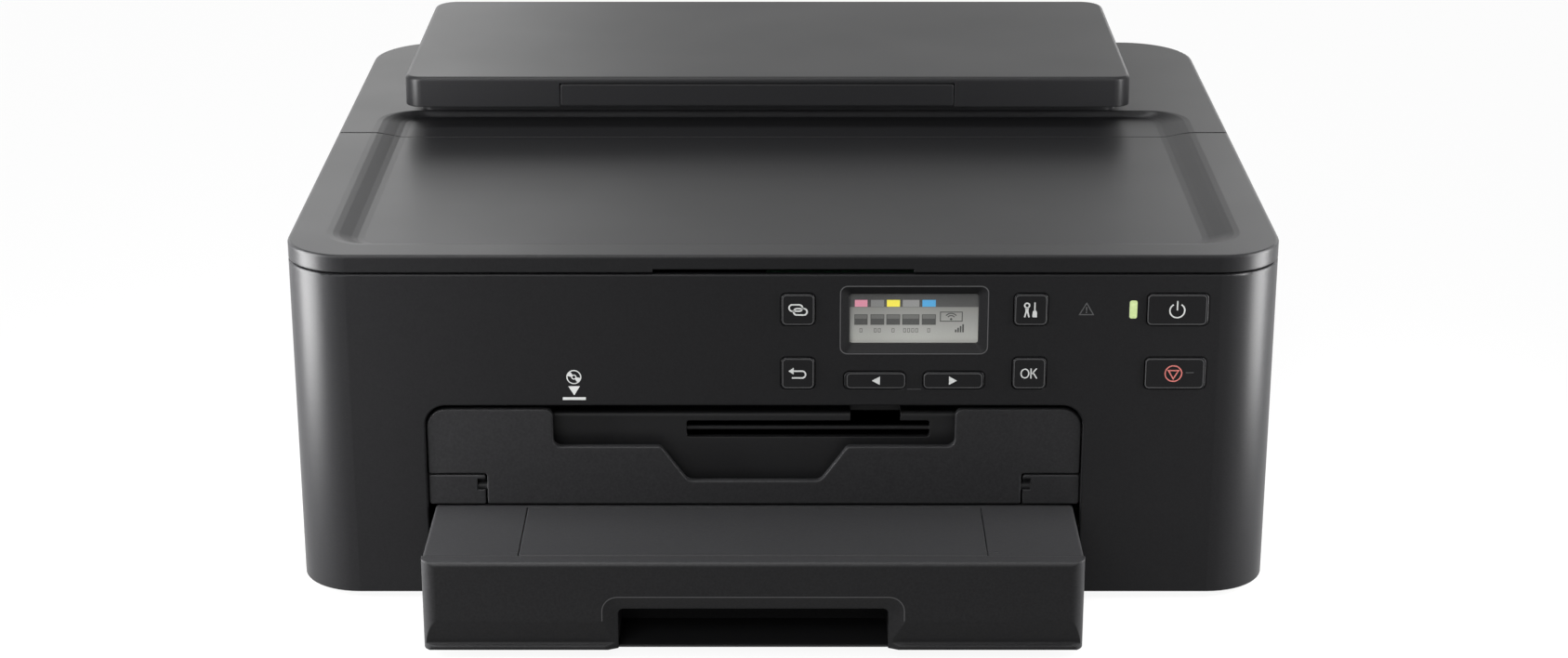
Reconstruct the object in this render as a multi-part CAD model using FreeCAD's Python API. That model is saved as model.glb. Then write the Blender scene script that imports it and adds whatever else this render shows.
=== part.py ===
import FreeCAD, Part
import math
import os

os.makedirs("parts", exist_ok=True)

# All sizes in mm. X runs right, Y runs back, Z up, origin under the middle of the overall box.
# "Depth" is the distance behind the flat front face of the case.

# Overall size
BODY_W = 372.0
BODY_D = 313.0
CASSETTE_REACH = 52.0
CASE_TOP_Z = 131.2
COVER_H = 6.5
FEED_GAP = 6.7
FEED_H = 12.8

# Outer skins
FOOT_H = 2.2
CASE_LIFT = 0.8
WALL = 2.5
SKIN = 2.2
FRONT_R = 24.0
REAR_R = 30.0
EDGE_R = 1.2
CASE_EDGE_R = 0.8

# Clearances
SEAM = 0.8
FIT = 0.3
SLIDE_GAP = 0.4
RUN = 0.05
FACE = 0.5

# Paper path and cassette
PATH_X = -11.0
PAPER_W = 216.0
PAPER_L = 297.0
CASSETTE_W = 242.4
CASSETTE_BOTTOM_Z = 2.9
CASSETTE_TOP_Z = 38.2
BAY_GAP = 2.3
OPEN_ABOVE = 41.0
OPEN_R = 8.0
BAY_EDGE_R = 0.6
EXIT_H = 5.2

# Top dish
DISH_DEPTH = 2.6
DISH_MARGIN = 13.8
DISH_FRONT = 13.5
DISH_REAR = 196.0
DISH_SIDE_SLOPE = 14.0
DISH_FRONT_SLOPE = 7.0
DISH_REAR_SLOPE = 1.5
DISH_R = 16.0
DISH_STEPS = 6

# Access cover hinge
HINGE_D = 159.5
HINGE_RISE = 2.0
HINGE_R = 5.0
HINGE_PIN_R = 1.5
EAR_R = 2.5
EAR_T = 3.5
BARREL_W = 13.0
GRIP_W = 96.6
GRIP_H = 1.2

# Feed cover and paper support
FEED_W = 306.5
FEED_X = -6.6
FEED_D = 135.0
FEED_FRONT_R = 7.0
FEED_REAR_R = 10.0
FEED_PIN_R = 2.0
FEED_EAR_R = 3.5
FEED_EAR_T = 5.0
FEED_PIVOT_RISE = 3.0
FEED_PIVOT_INSET = 6.0
FEED_EDGE_R = 1.6
PLINTH_INSET = 4.5
TONGUE_W = 166.0
TONGUE_DROP = 2.9
SUPPORT_T = 3.0
SUPPORT_L = 118.0
SLOT_INSET = 21.0
SLOT_MARGIN = 16.0
SLOT_W = 228.0

# Output door
DOOR_GAP = 0.6
DOOR_T = 2.8
DOOR_RECESS = 0.6
DOOR_R = 7.0
NOTCH_W = 151.3
NOTCH_DROP = 15.1
TRAP_TOP_W = 70.5
TRAP_BOTTOM_W = 50.2
TRAP_DROP = 13.9
BLOCK_W = 21.3
BLOCK_H = 11.8
DOOR_PIVOT_RISE = 6.6
DOOR_PIVOT_D = 3.0
DOOR_PIN_R = 1.6

# Cassette details
FASCIA_D = 6.4
FASCIA_R = 8.5
FASCIA_T = 2.2
UNDERCUT = 2.2
UNDERCUT_H = 11.5
LIP_STEP = 2.4
HANDLE_W = 99.1
HANDLE_H = 15.9
BEVEL = 6.0
BEVEL_D = 2.6
FLAP_W = 171.3
FLAP_L = 44.0
FLAP_T = 1.8
FLAP_PIN_R = 0.7
FLAP_TOE = 3.0
TRAY_T = 1.8
TRAY_RIB_H = 0.8
TRAY_RIB_L = 97.2
LID_L = 163.0
LID_T = 3.8
GUIDE_H = 18.8
GUIDE_L = 88.0
GUIDE_T = 1.8
GUIDE_FOOT_W = 35.0
GUIDE_FOOT_T = 1.2
END_W = 44.0
END_FOOT_L = 26.0

# Control panel: pitch of the rows and columns, and cap sizes
ROW_LOW_Z = 92.3
ROW_HIGH_Z = 117.5
PANEL_INSET = 39.7
OK_PITCH = 54.5
ARROW_PITCH = 29.6
ARROW_TO_OK = 28.1
ARROW_TO_BACK = 28.6
CAP = 12.4
CAP_WIDE = 22.6
CAP_SLIM = 6.7
CAP_R = 1.8
CAP_STANDS = 0.4
CAP_TRAVEL = 0.8
BOARD_D = 8.2
BOARD_T = 1.6
LCD_Z = 113.3
LCD_W = 47.8
LCD_H = 19.6
LCD_BEZEL = 3.3
LCD_SINK = 1.6
LCD_R = 1.0
LCD_BEZEL_R = 2.5
LCD_OVERLAP = 1.5
LCD_GLASS = 1.2
LAMP_PITCH = 16.5
LAMP_W = 2.8
LAMP_H = 7.0
LAMP_R = 0.75

# Print mechanism
PLATE_INSET = 22.0
SHEET = 1.2
FEED_ROLLER_D = 140.0
ROLLER_R = 6.0
SHAFT_R = 3.0
GEAR_M = 1.0
FEED_TEETH = 40
IDLE_TEETH = 25
PINION_TEETH = 15
GEAR_W = 5.0
MOTOR_ANGLE = -63.0
RAIL_R = 4.0
RAIL_D = 148.0
RAIL_RISE = 22.0
CARRIAGE_W = 96.0
PARK_GAP = 1.0
CARRIAGE_D = 48.0
CARRIAGE_FRONT = 90.0
HOOK_W = 32.0
TANK_W = 13.0
TANK_WIDE = 20.0
TANK_GAP = 1.6
BEAM_D = 172.0
BEAM_BELOW = 7.2
PULLEY_INSET = 14.0
PULLEY_R = 6.0
BELT_T = 1.2
BELT_W = 5.0
PICK_R = 14.0
ARM_PIVOT_D = 225.0
ARM_PIVOT_Z = 52.0
ARM_L = 60.0
ARM_DIP = 5.5
ARM_WHEEL_R = 10.0
FLOOR = 1.8
BASE_RIM_H = 10.0
BASE_RIB_T = 2.0
BAY_RIB_H = 16.0

# Places that follow from the sizes above
FRONT_Y = (CASSETTE_REACH - BODY_D) / 2
HALF_W = BODY_W / 2
BASE_Z = FOOT_H
FLOOR_Z = FOOT_H + FLOOR
CASE_BOTTOM_Z = FOOT_H + CASE_LIFT
COVER_Z = CASE_TOP_Z + SEAM
RIM_Z = COVER_Z + COVER_H
FEED_Z = RIM_Z + FEED_GAP
FEED_TOP_Z = FEED_Z + FEED_H
OPEN_TOP_Z = CASSETTE_TOP_Z + OPEN_ABOVE
OPEN_X0 = PATH_X - CASSETTE_W / 2 - BAY_GAP
OPEN_X1 = PATH_X + CASSETTE_W / 2 + BAY_GAP
PAPER_Z = OPEN_TOP_Z - EXIT_H
HINGE_Z = COVER_Z + HINGE_RISE
PLATE_X = HALF_W - PLATE_INSET
PLATE_OUT_X = PLATE_X + SHEET
PULLEY_X = PLATE_X - PULLEY_INSET
CARRIAGE_X = PLATE_X - PARK_GAP - CARRIAGE_W / 2
SLOT_REAR = BODY_D - SLOT_INSET
SLOT_FRONT = DISH_REAR + SLOT_MARGIN


def at(depth):
    return FRONT_Y + depth


def outline(corners, lift):
    """Closed wire through (u, v, radius) corners, each corner rounded by its radius."""
    count = len(corners)
    starts = []
    ends = []
    arcs = []
    for i in range(count):
        u, v, radius = corners[i]
        here = FreeCAD.Vector(u, v, 0)
        before = FreeCAD.Vector(*corners[i - 1][:2], 0) - here
        after = FreeCAD.Vector(*corners[(i + 1) % count][:2], 0) - here
        before.normalize()
        after.normalize()
        half = before.getAngle(after) / 2
        if radius <= 0:
            starts.append(here)
            ends.append(here)
            arcs.append(None)
            continue
        reach = radius / math.tan(half)
        middle = before + after
        middle.normalize()
        starts.append(here + before * reach)
        ends.append(here + after * reach)
        arcs.append(here + middle * (radius / math.sin(half) - radius))
    edges = []
    for i in range(count):
        if arcs[i] is not None:
            edges.append(Part.Arc(lift(starts[i]), lift(arcs[i]), lift(ends[i])).toShape())
        onward = starts[(i + 1) % count]
        if (onward - ends[i]).Length > 1e-6:
            edges.append(Part.makeLine(lift(ends[i]), lift(onward)))
    return Part.Wire(edges)


def plan_wire(corners, z):
    return outline(corners, lambda p: FreeCAD.Vector(p.x, at(p.y), z))


def front_wire(corners, depth):
    return outline(corners, lambda p: FreeCAD.Vector(p.x, at(depth), p.y))


def plan(corners, z0, z1):
    """Plan outline (x, depth) pulled up from z0 to z1."""
    return Part.Face(plan_wire(corners, z0)).extrude(FreeCAD.Vector(0, 0, z1 - z0))


def front(corners, d0, d1):
    """Front-view outline (x, z) pulled back from depth d0 to d1."""
    return Part.Face(front_wire(corners, d0)).extrude(FreeCAD.Vector(0, d1 - d0, 0))


def side(corners, x0, x1):
    """Side-view outline (depth, z) pulled across from x0 to x1."""
    wire = outline(corners, lambda p: FreeCAD.Vector(x0, at(p.x), p.y))
    return Part.Face(wire).extrude(FreeCAD.Vector(x1 - x0, 0, 0))


def rect(u0, u1, v0, v1, radius=0.0):
    return [(u0, v0, radius), (u1, v0, radius), (u1, v1, radius), (u0, v1, radius)]


def middle_rect(u, v, width, height, radius=0.0):
    return rect(u - width / 2, u + width / 2, v - height / 2, v + height / 2, radius)


def block(x0, x1, d0, d1, z0, z1):
    return Part.makeBox(x1 - x0, d1 - d0, z1 - z0, FreeCAD.Vector(x0, at(d0), z0))


def rod_x(x0, x1, depth, z, radius):
    return Part.makeCylinder(radius, x1 - x0, FreeCAD.Vector(x0, at(depth), z), FreeCAD.Vector(1, 0, 0))


def rod_y(d0, d1, x, z, radius):
    return Part.makeCylinder(radius, d1 - d0, FreeCAD.Vector(x, at(d0), z), FreeCAD.Vector(0, 1, 0))


def rod_z(z0, z1, x, depth, radius):
    return Part.makeCylinder(radius, z1 - z0, FreeCAD.Vector(x, at(depth), z0))


def fuse(*shapes):
    return shapes[0].multiFuse(list(shapes[1:])).removeSplitter()


def cut(shape, *tools):
    for tool in tools:
        shape = shape.cut(tool)
    return shape


def flat_edges(shape, axis, place):
    """Edges that lie wholly at one place along an axis."""
    found = []
    for edge in shape.Edges:
        box = edge.BoundBox
        low = getattr(box, axis + "Min")
        high = getattr(box, axis + "Max")
        if abs(low - place) < 1e-3 and abs(high - place) < 1e-3:
            found.append(edge)
    return found


def soften(shape, radius, axis, place):
    return shape.makeFillet(radius, flat_edges(shape, axis, place))


def mirrored(shape):
    return shape.mirror(FreeCAD.Vector(0, 0, 0), FreeCAD.Vector(1, 0, 0))


def save(name, *solids):
    shape = solids[0] if len(solids) == 1 else Part.makeCompound(list(solids))
    shape.exportStep("parts/" + name + ".step")


def body_block(inset, z0, z1):
    """The rounded case outline, drawn in by an inset, between two heights."""
    half = HALF_W - inset
    corners = [
        (-half, inset, FRONT_R - inset),
        (half, inset, FRONT_R - inset),
        (half, BODY_D - inset, REAR_R - inset),
        (-half, BODY_D - inset, REAR_R - inset),
    ]
    return plan(corners, z0, z1)


def dish():
    """Cutter for the shallow dish that runs over both top covers, with soft S-shaped slopes."""
    edge_x = HALF_W - DISH_MARGIN
    wires = []
    for step in range(-1, DISH_STEPS + 1):
        share = max(step, 0) / DISH_STEPS
        drop = DISH_DEPTH * (1 - math.cos(math.pi * share)) / 2 - (1 if step < 0 else 0)
        x = edge_x - DISH_SIDE_SLOPE * share
        front_d = DISH_FRONT + DISH_FRONT_SLOPE * share
        rear_d = DISH_REAR - DISH_REAR_SLOPE * share
        radius = DISH_R - DISH_FRONT_SLOPE * share
        wires.append(plan_wire(rect(-x, x, front_d, rear_d, radius), RIM_Z - drop))
    return Part.makeLoft(wires, True, True)


# Control panel columns, counted from the right-hand side of the case
COL_E_X = HALF_W - PANEL_INSET
COL_D_X = COL_E_X - OK_PITCH
COL_C_X = COL_D_X - ARROW_TO_OK
COL_B_X = COL_C_X - ARROW_PITCH
COL_A_X = COL_B_X - ARROW_TO_BACK
LCD_X = (COL_B_X + COL_C_X) / 2 - FIT
LAMP_X = COL_E_X - LAMP_PITCH

# Control panel layout: name, x, z, width, height
BUTTONS = [
    ("connect_button", COL_A_X, ROW_HIGH_Z, CAP, CAP),
    ("back_button", COL_A_X, ROW_LOW_Z, CAP, CAP),
    ("left_button", COL_B_X, ROW_LOW_Z - (CAP - CAP_SLIM) / 2, CAP_WIDE, CAP_SLIM),
    ("right_button", COL_C_X, ROW_LOW_Z - (CAP - CAP_SLIM) / 2, CAP_WIDE, CAP_SLIM),
    ("tools_button", COL_D_X, ROW_HIGH_Z, CAP, CAP),
    ("ok_button", COL_D_X, ROW_LOW_Z, CAP, CAP),
    ("power_button", COL_E_X, ROW_HIGH_Z, CAP_WIDE, CAP),
    ("stop_button", COL_E_X, ROW_LOW_Z, CAP_WIDE, CAP),
]
FLANGE = 1.2
FLANGE_T = 0.8
SWITCH_H = 2.2
POST_R = 2.5
BOARD_X0 = COL_A_X - CAP
BOARD_X1 = COL_E_X + CAP_WIDE / 2 + FLANGE + 2 * POST_R + 1
BOARD_Z0 = ROW_LOW_Z - CAP
BOARD_Z1 = ROW_HIGH_Z + CAP
POSTS = [(BOARD_X0 + 4, BOARD_Z0 + 3), (BOARD_X0 + 4, BOARD_Z1 - 3)]
POSTS += [(COL_D_X + CAP + 2 * POST_R, BOARD_Z0 + 3), (COL_D_X + CAP + 2 * POST_R, BOARD_Z1 - 3)]
POSTS += [(BOARD_X1 - 3, BOARD_Z0 + 3), (BOARD_X1 - 3, BOARD_Z1 - 3)]

# Rear wall layout
REAR_PANEL_W = 196.0
REAR_PANEL_H = 36.0
REAR_PANEL_Z = 52.0
INLET_INSET = 39.0
INLET_X = INLET_INSET - HALF_W
INLET_W = 13.0
INLET_H = 9.0
INLET_Z = 24.0
PORT_INSET = 42.0
PORT_X = HALF_W - PORT_INSET
PORT_W = 12.0
USB_H = 10.8
LAN_H = 13.5
USB_Z = 16.0
LAN_Z = 34.0


def hinge_post():
    """Right-hand post inside the case wall that carries the access cover's pivot."""
    ear_x1 = HALF_W - BARREL_W - FIT
    ear_x0 = ear_x1 - EAR_T
    foot_top = HINGE_Z - HINGE_R - FIT - 2
    foot = side(rect(HINGE_D - 5, HINGE_D + 5, foot_top - 22, foot_top), ear_x0, HALF_W - WALL / 2)
    stem = block(ear_x0, ear_x1, HINGE_D - EAR_R, HINGE_D + EAR_R, foot_top - 10, HINGE_Z)
    head = rod_x(ear_x0, ear_x1, HINGE_D, HINGE_Z, EAR_R)
    bore = rod_x(ear_x0 - 1, ear_x1 + 1, HINGE_D, HINGE_Z, HINGE_PIN_R + RUN)
    return fuse(foot, stem, head).cut(bore)


def main_case():
    """One-piece shell: front, sides and rear, with the cassette bay, panel holes and rear sockets."""
    outer = soften(body_block(0, CASE_BOTTOM_Z, CASE_TOP_Z), CASE_EDGE_R, "Z", CASE_TOP_Z)
    shell = outer.cut(body_block(WALL, CASE_BOTTOM_Z - 1, CASE_TOP_Z + 1))
    bay = [
        (OPEN_X0, CASE_BOTTOM_Z - 1, 0),
        (OPEN_X1, CASE_BOTTOM_Z - 1, 0),
        (OPEN_X1, OPEN_TOP_Z, OPEN_R),
        (OPEN_X0, OPEN_TOP_Z, OPEN_R),
    ]
    shell = shell.cut(front(bay, -1, WALL + 1))
    bay_edges = []
    for edge in flat_edges(shell, "Y", at(0)):
        middle = edge.CenterOfMass
        inside_x = OPEN_X0 - 0.1 < middle.x < OPEN_X1 + 0.1
        if inside_x and CASE_BOTTOM_Z + 1 < middle.z < OPEN_TOP_Z + 0.1:
            bay_edges.append(edge)
    shell = shell.makeFillet(BAY_EDGE_R, bay_edges)
    holes = [middle_rect(LAMP_X, ROW_HIGH_Z, LAMP_W + 2 * RUN, LAMP_H + 2 * RUN, LAMP_R + RUN)]
    for name, x, z, width, height in BUTTONS:
        holes.append(middle_rect(x, z, width + 2 * FIT, height + 2 * FIT, CAP_R + FIT))
    shell = shell.cut([front(hole, -1, WALL + 1) for hole in holes])
    bezel = [
        front_wire(middle_rect(LCD_X, LCD_Z, LCD_W + 2 * LCD_BEZEL, LCD_H + 2 * LCD_BEZEL, LCD_BEZEL_R), 0),
        front_wire(middle_rect(LCD_X, LCD_Z, LCD_W, LCD_H, LCD_R), LCD_SINK),
    ]
    shell = shell.cut(Part.makeLoft(bezel, True, True))
    shell = shell.cut(front(middle_rect(LCD_X, LCD_Z, LCD_W, LCD_H, LCD_R), LCD_SINK - 0.1, WALL + 1))
    posts = [rod_y(WALL - 0.5, BOARD_D, x, z, POST_R) for x, z in POSTS]
    notch_x = HALF_W - BARREL_W
    notch = rod_x(notch_x - FIT / 2, HALF_W + 1, HINGE_D, HINGE_Z, HINGE_R + FIT)
    shell = cut(shell, notch, mirrored(notch))
    rear = BODY_D - WALL
    panel = middle_rect(PATH_X, REAR_PANEL_Z, REAR_PANEL_W + 2 * FIT, REAR_PANEL_H + 2 * FIT, 4)
    shell = shell.cut(front(panel, rear - 1, BODY_D + 1))
    for x, z, width, height in (
        (INLET_X, INLET_Z, INLET_W, INLET_H),
        (PORT_X, USB_Z, PORT_W, USB_H),
        (PORT_X, LAN_Z, PORT_W, LAN_H),
    ):
        hole = middle_rect(x, z, width + 2 * FIT, height + 2 * FIT, 1)
        shell = shell.cut(front(hole, rear - 1, BODY_D + 1))
    post = hinge_post()
    return fuse(shell, post, mirrored(post), *posts)


save("main_case", main_case())


def base_case():
    """Floor tray inside the case, with a rim, cassette rails and bay ribs."""
    inset = WALL + FIT
    floor = body_block(inset, BASE_Z, FLOOR_Z)
    rim_z = FLOOR_Z + BASE_RIM_H
    rim = body_block(inset, FLOOR_Z, rim_z).cut(body_block(inset + BASE_RIB_T, FLOOR_Z - 1, rim_z + 1))
    mouth = block(OPEN_X0 + FIT, OPEN_X1 - FIT, -1, inset + 3, FLOOR_Z, rim_z + 1)
    ribs = []
    for x0 in (OPEN_X0 - BASE_RIB_T, OPEN_X1):
        ribs.append(block(x0, x0 + BASE_RIB_T, inset + 3, BODY_D - 40, FLOOR_Z - 0.5, FLOOR_Z + BAY_RIB_H))
    rails = []
    for x in (PATH_X - CASSETTE_W / 3, PATH_X + CASSETTE_W / 3):
        rails.append(block(x - 2, x + 2, inset + 3, BODY_D - 60, FLOOR_Z - 0.5, FLOOR_Z + FIT))
    rear_room = block(-HALF_W, HALF_W, BODY_D - 12, BODY_D, FLOOR_Z + 3, rim_z + 1)
    return fuse(cut(rim, mouth, rear_room), floor, *ribs, *rails)


save("base_case", base_case())

FOOT_R = 8.0
FOOT_X = HALF_W - 34
FOOT_D = 34.0
feet = []
for foot_x in (-FOOT_X, FOOT_X):
    for foot_d in (FOOT_D, BODY_D - FOOT_D):
        feet.append(soften(rod_z(0, FOOT_H, foot_x, foot_d, FOOT_R), 0.6, "Z", 0))
save("rubber_feet", *feet)


# Rear top: deck, feed slot and the feed cover's pivots
FEED_X0 = FEED_X - FEED_W / 2
FEED_X1 = FEED_X + FEED_W / 2
FEED_FRONT_D = BODY_D - FEED_D
FEED_PIVOT_D = BODY_D - FEED_PIVOT_INSET
FEED_PIVOT_Z = FEED_Z + FEED_PIVOT_RISE
LEFT_EAR_X = FEED_X0 + FEED_REAR_R + SLIDE_GAP
RIGHT_EAR_X = FEED_X1 - FEED_REAR_R - SLIDE_GAP - FEED_EAR_T


def feed_ear(x0):
    """Ear on the rear top that carries the feed cover's pivot pin."""
    x1 = x0 + FEED_EAR_T
    stem = block(x0, x1, FEED_PIVOT_D - FEED_EAR_R, FEED_PIVOT_D + FEED_EAR_R, RIM_Z - 1, FEED_PIVOT_Z)
    head = rod_x(x0, x1, FEED_PIVOT_D, FEED_PIVOT_Z, FEED_EAR_R)
    bore = rod_x(x0 - 1, x1 + 1, FEED_PIVOT_D, FEED_PIVOT_Z, FEED_PIN_R + RUN)
    return fuse(stem, head).cut(bore)


def rear_top_cover():
    """Fixed rear deck: dish end, raised plinth round the feed slot, ears for the feed cover."""
    deck = soften(body_block(0, CASE_TOP_Z, RIM_Z), EDGE_R, "Z", RIM_Z)
    lip = rod_x(-HALF_W, HALF_W, HINGE_D, HINGE_Z, HINGE_R + FIT)
    deck = cut(deck, block(-HALF_W, HALF_W, -1, HINGE_D, CASE_TOP_Z - 1, RIM_Z + 1), lip)
    low = body_block(WALL, CASE_TOP_Z - 1, RIM_Z - DISH_DEPTH - SKIN)
    low = low.cut(block(-HALF_W, HALF_W, -1, HINGE_D + HINGE_R + 3, CASE_TOP_Z - 2, RIM_Z))
    high = body_block(WALL, CASE_TOP_Z - 1, RIM_Z - SKIN)
    high = high.cut(block(-HALF_W, HALF_W, -1, DISH_REAR + 3, CASE_TOP_Z - 2, RIM_Z))
    deck = cut(deck, low, high, dish())
    plinth_x0 = FEED_X0 + PLINTH_INSET
    plinth_x1 = FEED_X1 - PLINTH_INSET
    plinth = rect(plinth_x0, plinth_x1, DISH_REAR + 1, FEED_PIVOT_D - FEED_EAR_R - PLINTH_INSET, 5)
    deck = fuse(deck, plan(plinth, RIM_Z - 1, FEED_Z - FIT))
    slot = rect(PATH_X - SLOT_W / 2, PATH_X + SLOT_W / 2, SLOT_FRONT, SLOT_REAR, 4)
    deck = deck.cut(plan(slot, CASE_TOP_Z, FEED_Z))
    return fuse(deck, feed_ear(LEFT_EAR_X), feed_ear(RIGHT_EAR_X))


save("rear_top_cover", rear_top_cover())


def access_cover():
    """Front top cover: rounded band, dish, barrel edge that turns in the rear deck's lip."""
    whole = soften(body_block(0, HINGE_Z - HINGE_R - 1, RIM_Z), EDGE_R, "Z", RIM_Z)
    panel = whole.common(block(-HALF_W, HALF_W, -1, HINGE_D, COVER_Z, RIM_Z + 1))
    barrel = whole.common(rod_x(-HALF_W, HALF_W, HINGE_D, HINGE_Z, HINGE_R))
    inner_x = HALF_W - BARREL_W
    under = block(-inner_x + 6, inner_x - 6, HINGE_D - HINGE_R - 1, HINGE_D + HINGE_R + 1, 0, COVER_Z)
    cover = fuse(panel, barrel.cut(under)).cut(dish())
    behind = block(-HALF_W, HALF_W, HINGE_D - HINGE_R - 1, BODY_D, CASE_BOTTOM_Z, RIM_Z)
    shallow = body_block(SKIN, COVER_Z - 1, RIM_Z - DISH_DEPTH - SKIN).cut(behind)
    ring = body_block(SKIN, COVER_Z - 1, RIM_Z - SKIN)
    ring = cut(ring, body_block(DISH_MARGIN - 1.5, COVER_Z - 2, RIM_Z), behind)
    cover = cut(cover, shallow, ring)
    ear_x0 = inner_x - FIT - EAR_T
    pocket = fuse(
        block(ear_x0 - FIT, inner_x, HINGE_D - EAR_R - FIT, HINGE_D + HINGE_R + 1, 0, HINGE_Z + EAR_R),
        rod_x(ear_x0 - FIT, inner_x, HINGE_D, HINGE_Z, EAR_R + FIT),
    )
    pin = rod_x(ear_x0 + 0.2, inner_x + 1, HINGE_D, HINGE_Z, HINGE_PIN_R)
    grip = block(-GRIP_W / 2, GRIP_W / 2, -1, SKIN + 0.5, COVER_Z - 1, COVER_Z + GRIP_H)
    cover = cut(cover, pocket, mirrored(pocket), grip)
    return fuse(cover, pin, mirrored(pin))


save("access_cover", access_cover())

TONGUE_X0 = PATH_X - TONGUE_W / 2
TONGUE_X1 = PATH_X + TONGUE_W / 2
RAIL_LIP_Z = FEED_Z + FEED_PIVOT_RISE
SUPPORT_Z = RAIL_LIP_Z + 1.5 + FIT


def feed_cover():
    """Raised lid over the feed slot: shell with hinge pins and rails for the paper support."""
    foot = [
        (FEED_X0, FEED_FRONT_D, FEED_FRONT_R),
        (FEED_X1, FEED_FRONT_D, FEED_FRONT_R),
        (FEED_X1, BODY_D, FEED_REAR_R),
        (FEED_X0, BODY_D, FEED_REAR_R),
    ]
    hollow = [
        (FEED_X0 + SKIN, FEED_FRONT_D + SKIN, FEED_FRONT_R - SKIN),
        (FEED_X1 - SKIN, FEED_FRONT_D + SKIN, FEED_FRONT_R - SKIN),
        (FEED_X1 - SKIN, BODY_D - SKIN, FEED_REAR_R - SKIN),
        (FEED_X0 + SKIN, BODY_D - SKIN, FEED_REAR_R - SKIN),
    ]
    lid = soften(plan(foot, FEED_Z, FEED_TOP_Z), FEED_EDGE_R, "Z", FEED_TOP_Z)
    lid = lid.cut(plan(hollow, FEED_Z - 1, FEED_TOP_Z - SKIN))
    mouth_top = FEED_TOP_Z - TONGUE_DROP + FIT
    mouth = block(TONGUE_X0 - FIT, TONGUE_X1 + FIT, FEED_FRONT_D - 1, FEED_FRONT_D + SKIN + 1, 0, mouth_top)
    lid = lid.cut(mouth)
    rails = []
    for x, inward in ((TONGUE_X0, 1), (TONGUE_X1, -1)):
        outer_x = x - inward * 4
        wall = sorted((outer_x, x - inward * SLIDE_GAP))
        lip = sorted((outer_x, x + inward * 3))
        d0 = FEED_FRONT_D + SKIN + 4
        d1 = FEED_PIVOT_D - 10
        rails.append(block(wall[0], wall[1], d0, d1, RAIL_LIP_Z, FEED_TOP_Z - SKIN + 0.5))
        rails.append(block(lip[0], lip[1], d0, d1, RAIL_LIP_Z, RAIL_LIP_Z + 1.5))
    for x in (LEFT_EAR_X, RIGHT_EAR_X):
        x0 = x - FIT
        x1 = x + FEED_EAR_T + FIT
        lid = lid.cut(block(x0, x1, BODY_D - SKIN - 1, BODY_D + 1, 0, FEED_PIVOT_Z + FEED_EAR_R + 3))
    left_pin = rod_x(FEED_X0 + 1, LEFT_EAR_X + FEED_EAR_T, FEED_PIVOT_D, FEED_PIVOT_Z, FEED_PIN_R)
    right_pin = rod_x(RIGHT_EAR_X, FEED_X1 - 1, FEED_PIVOT_D, FEED_PIVOT_Z, FEED_PIN_R)
    return fuse(lid, left_pin, right_pin, *rails)


save("feed_cover", feed_cover())


def paper_support():
    """Pull-out plate in the feed cover; its turned-down front end shows in the cover's edge."""
    foot = rect(TONGUE_X0, TONGUE_X1, FEED_FRONT_D + 1, FEED_FRONT_D + SUPPORT_L, 2)
    plate = plan(foot, SUPPORT_Z, SUPPORT_Z + SUPPORT_T)
    for x in (PATH_X - TONGUE_W / 4, PATH_X, PATH_X + TONGUE_W / 4):
        slot = middle_rect(x, FEED_FRONT_D + SUPPORT_L / 2, TONGUE_W / 8, SUPPORT_L / 2, 4)
        plate = plate.cut(plan(slot, SUPPORT_Z + 1, SUPPORT_Z + SUPPORT_T + 1))
    face = rect(TONGUE_X0, TONGUE_X1, FEED_Z + FIT, FEED_TOP_Z - TONGUE_DROP, 1.2)
    end = front(face, FEED_FRONT_D, FEED_FRONT_D + SKIN)
    end = soften(end, 0.5, "Y", at(FEED_FRONT_D))
    return fuse(plate, end)


save("paper_support", paper_support())

# Control panel pieces, from the front wall back to the board
for name, x, z, width, height in BUTTONS:
    cap = front(middle_rect(x, z, width, height, CAP_R), -CAP_STANDS, WALL + CAP_TRAVEL)
    cap = soften(cap, 0.35, "Y", at(-CAP_STANDS))
    flange_d = WALL + FIT
    flange_face = middle_rect(x, z, width + 2 * FLANGE, height + 2 * FLANGE, CAP_R)
    flange = front(flange_face, flange_d, flange_d + FLANGE_T)
    plunger = rod_y(flange_d, BOARD_D - SWITCH_H - CAP_TRAVEL - 0.15, x, z, 1.5)
    save(name, fuse(cap, flange, plunger))

board = front(rect(BOARD_X0, BOARD_X1, BOARD_Z0, BOARD_Z1, 2), BOARD_D, BOARD_D + BOARD_T)
switches = [rod_y(BOARD_D - SWITCH_H, BOARD_D + 0.2, x, z, 2) for name, x, z, width, height in BUTTONS]
save("panel_board", fuse(board, *switches))

lcd_face = middle_rect(LCD_X, LCD_Z, LCD_W + 2 * LCD_OVERLAP, LCD_H + 2 * LCD_OVERLAP, LCD_R)
save("lcd_window", front(lcd_face, WALL, WALL + LCD_GLASS))
save("lcd_module", front(lcd_face, WALL + LCD_GLASS, BOARD_D))
save("power_lamp", front(middle_rect(LAMP_X, ROW_HIGH_Z, LAMP_W, LAMP_H, LAMP_R), 0, BOARD_D))

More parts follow.
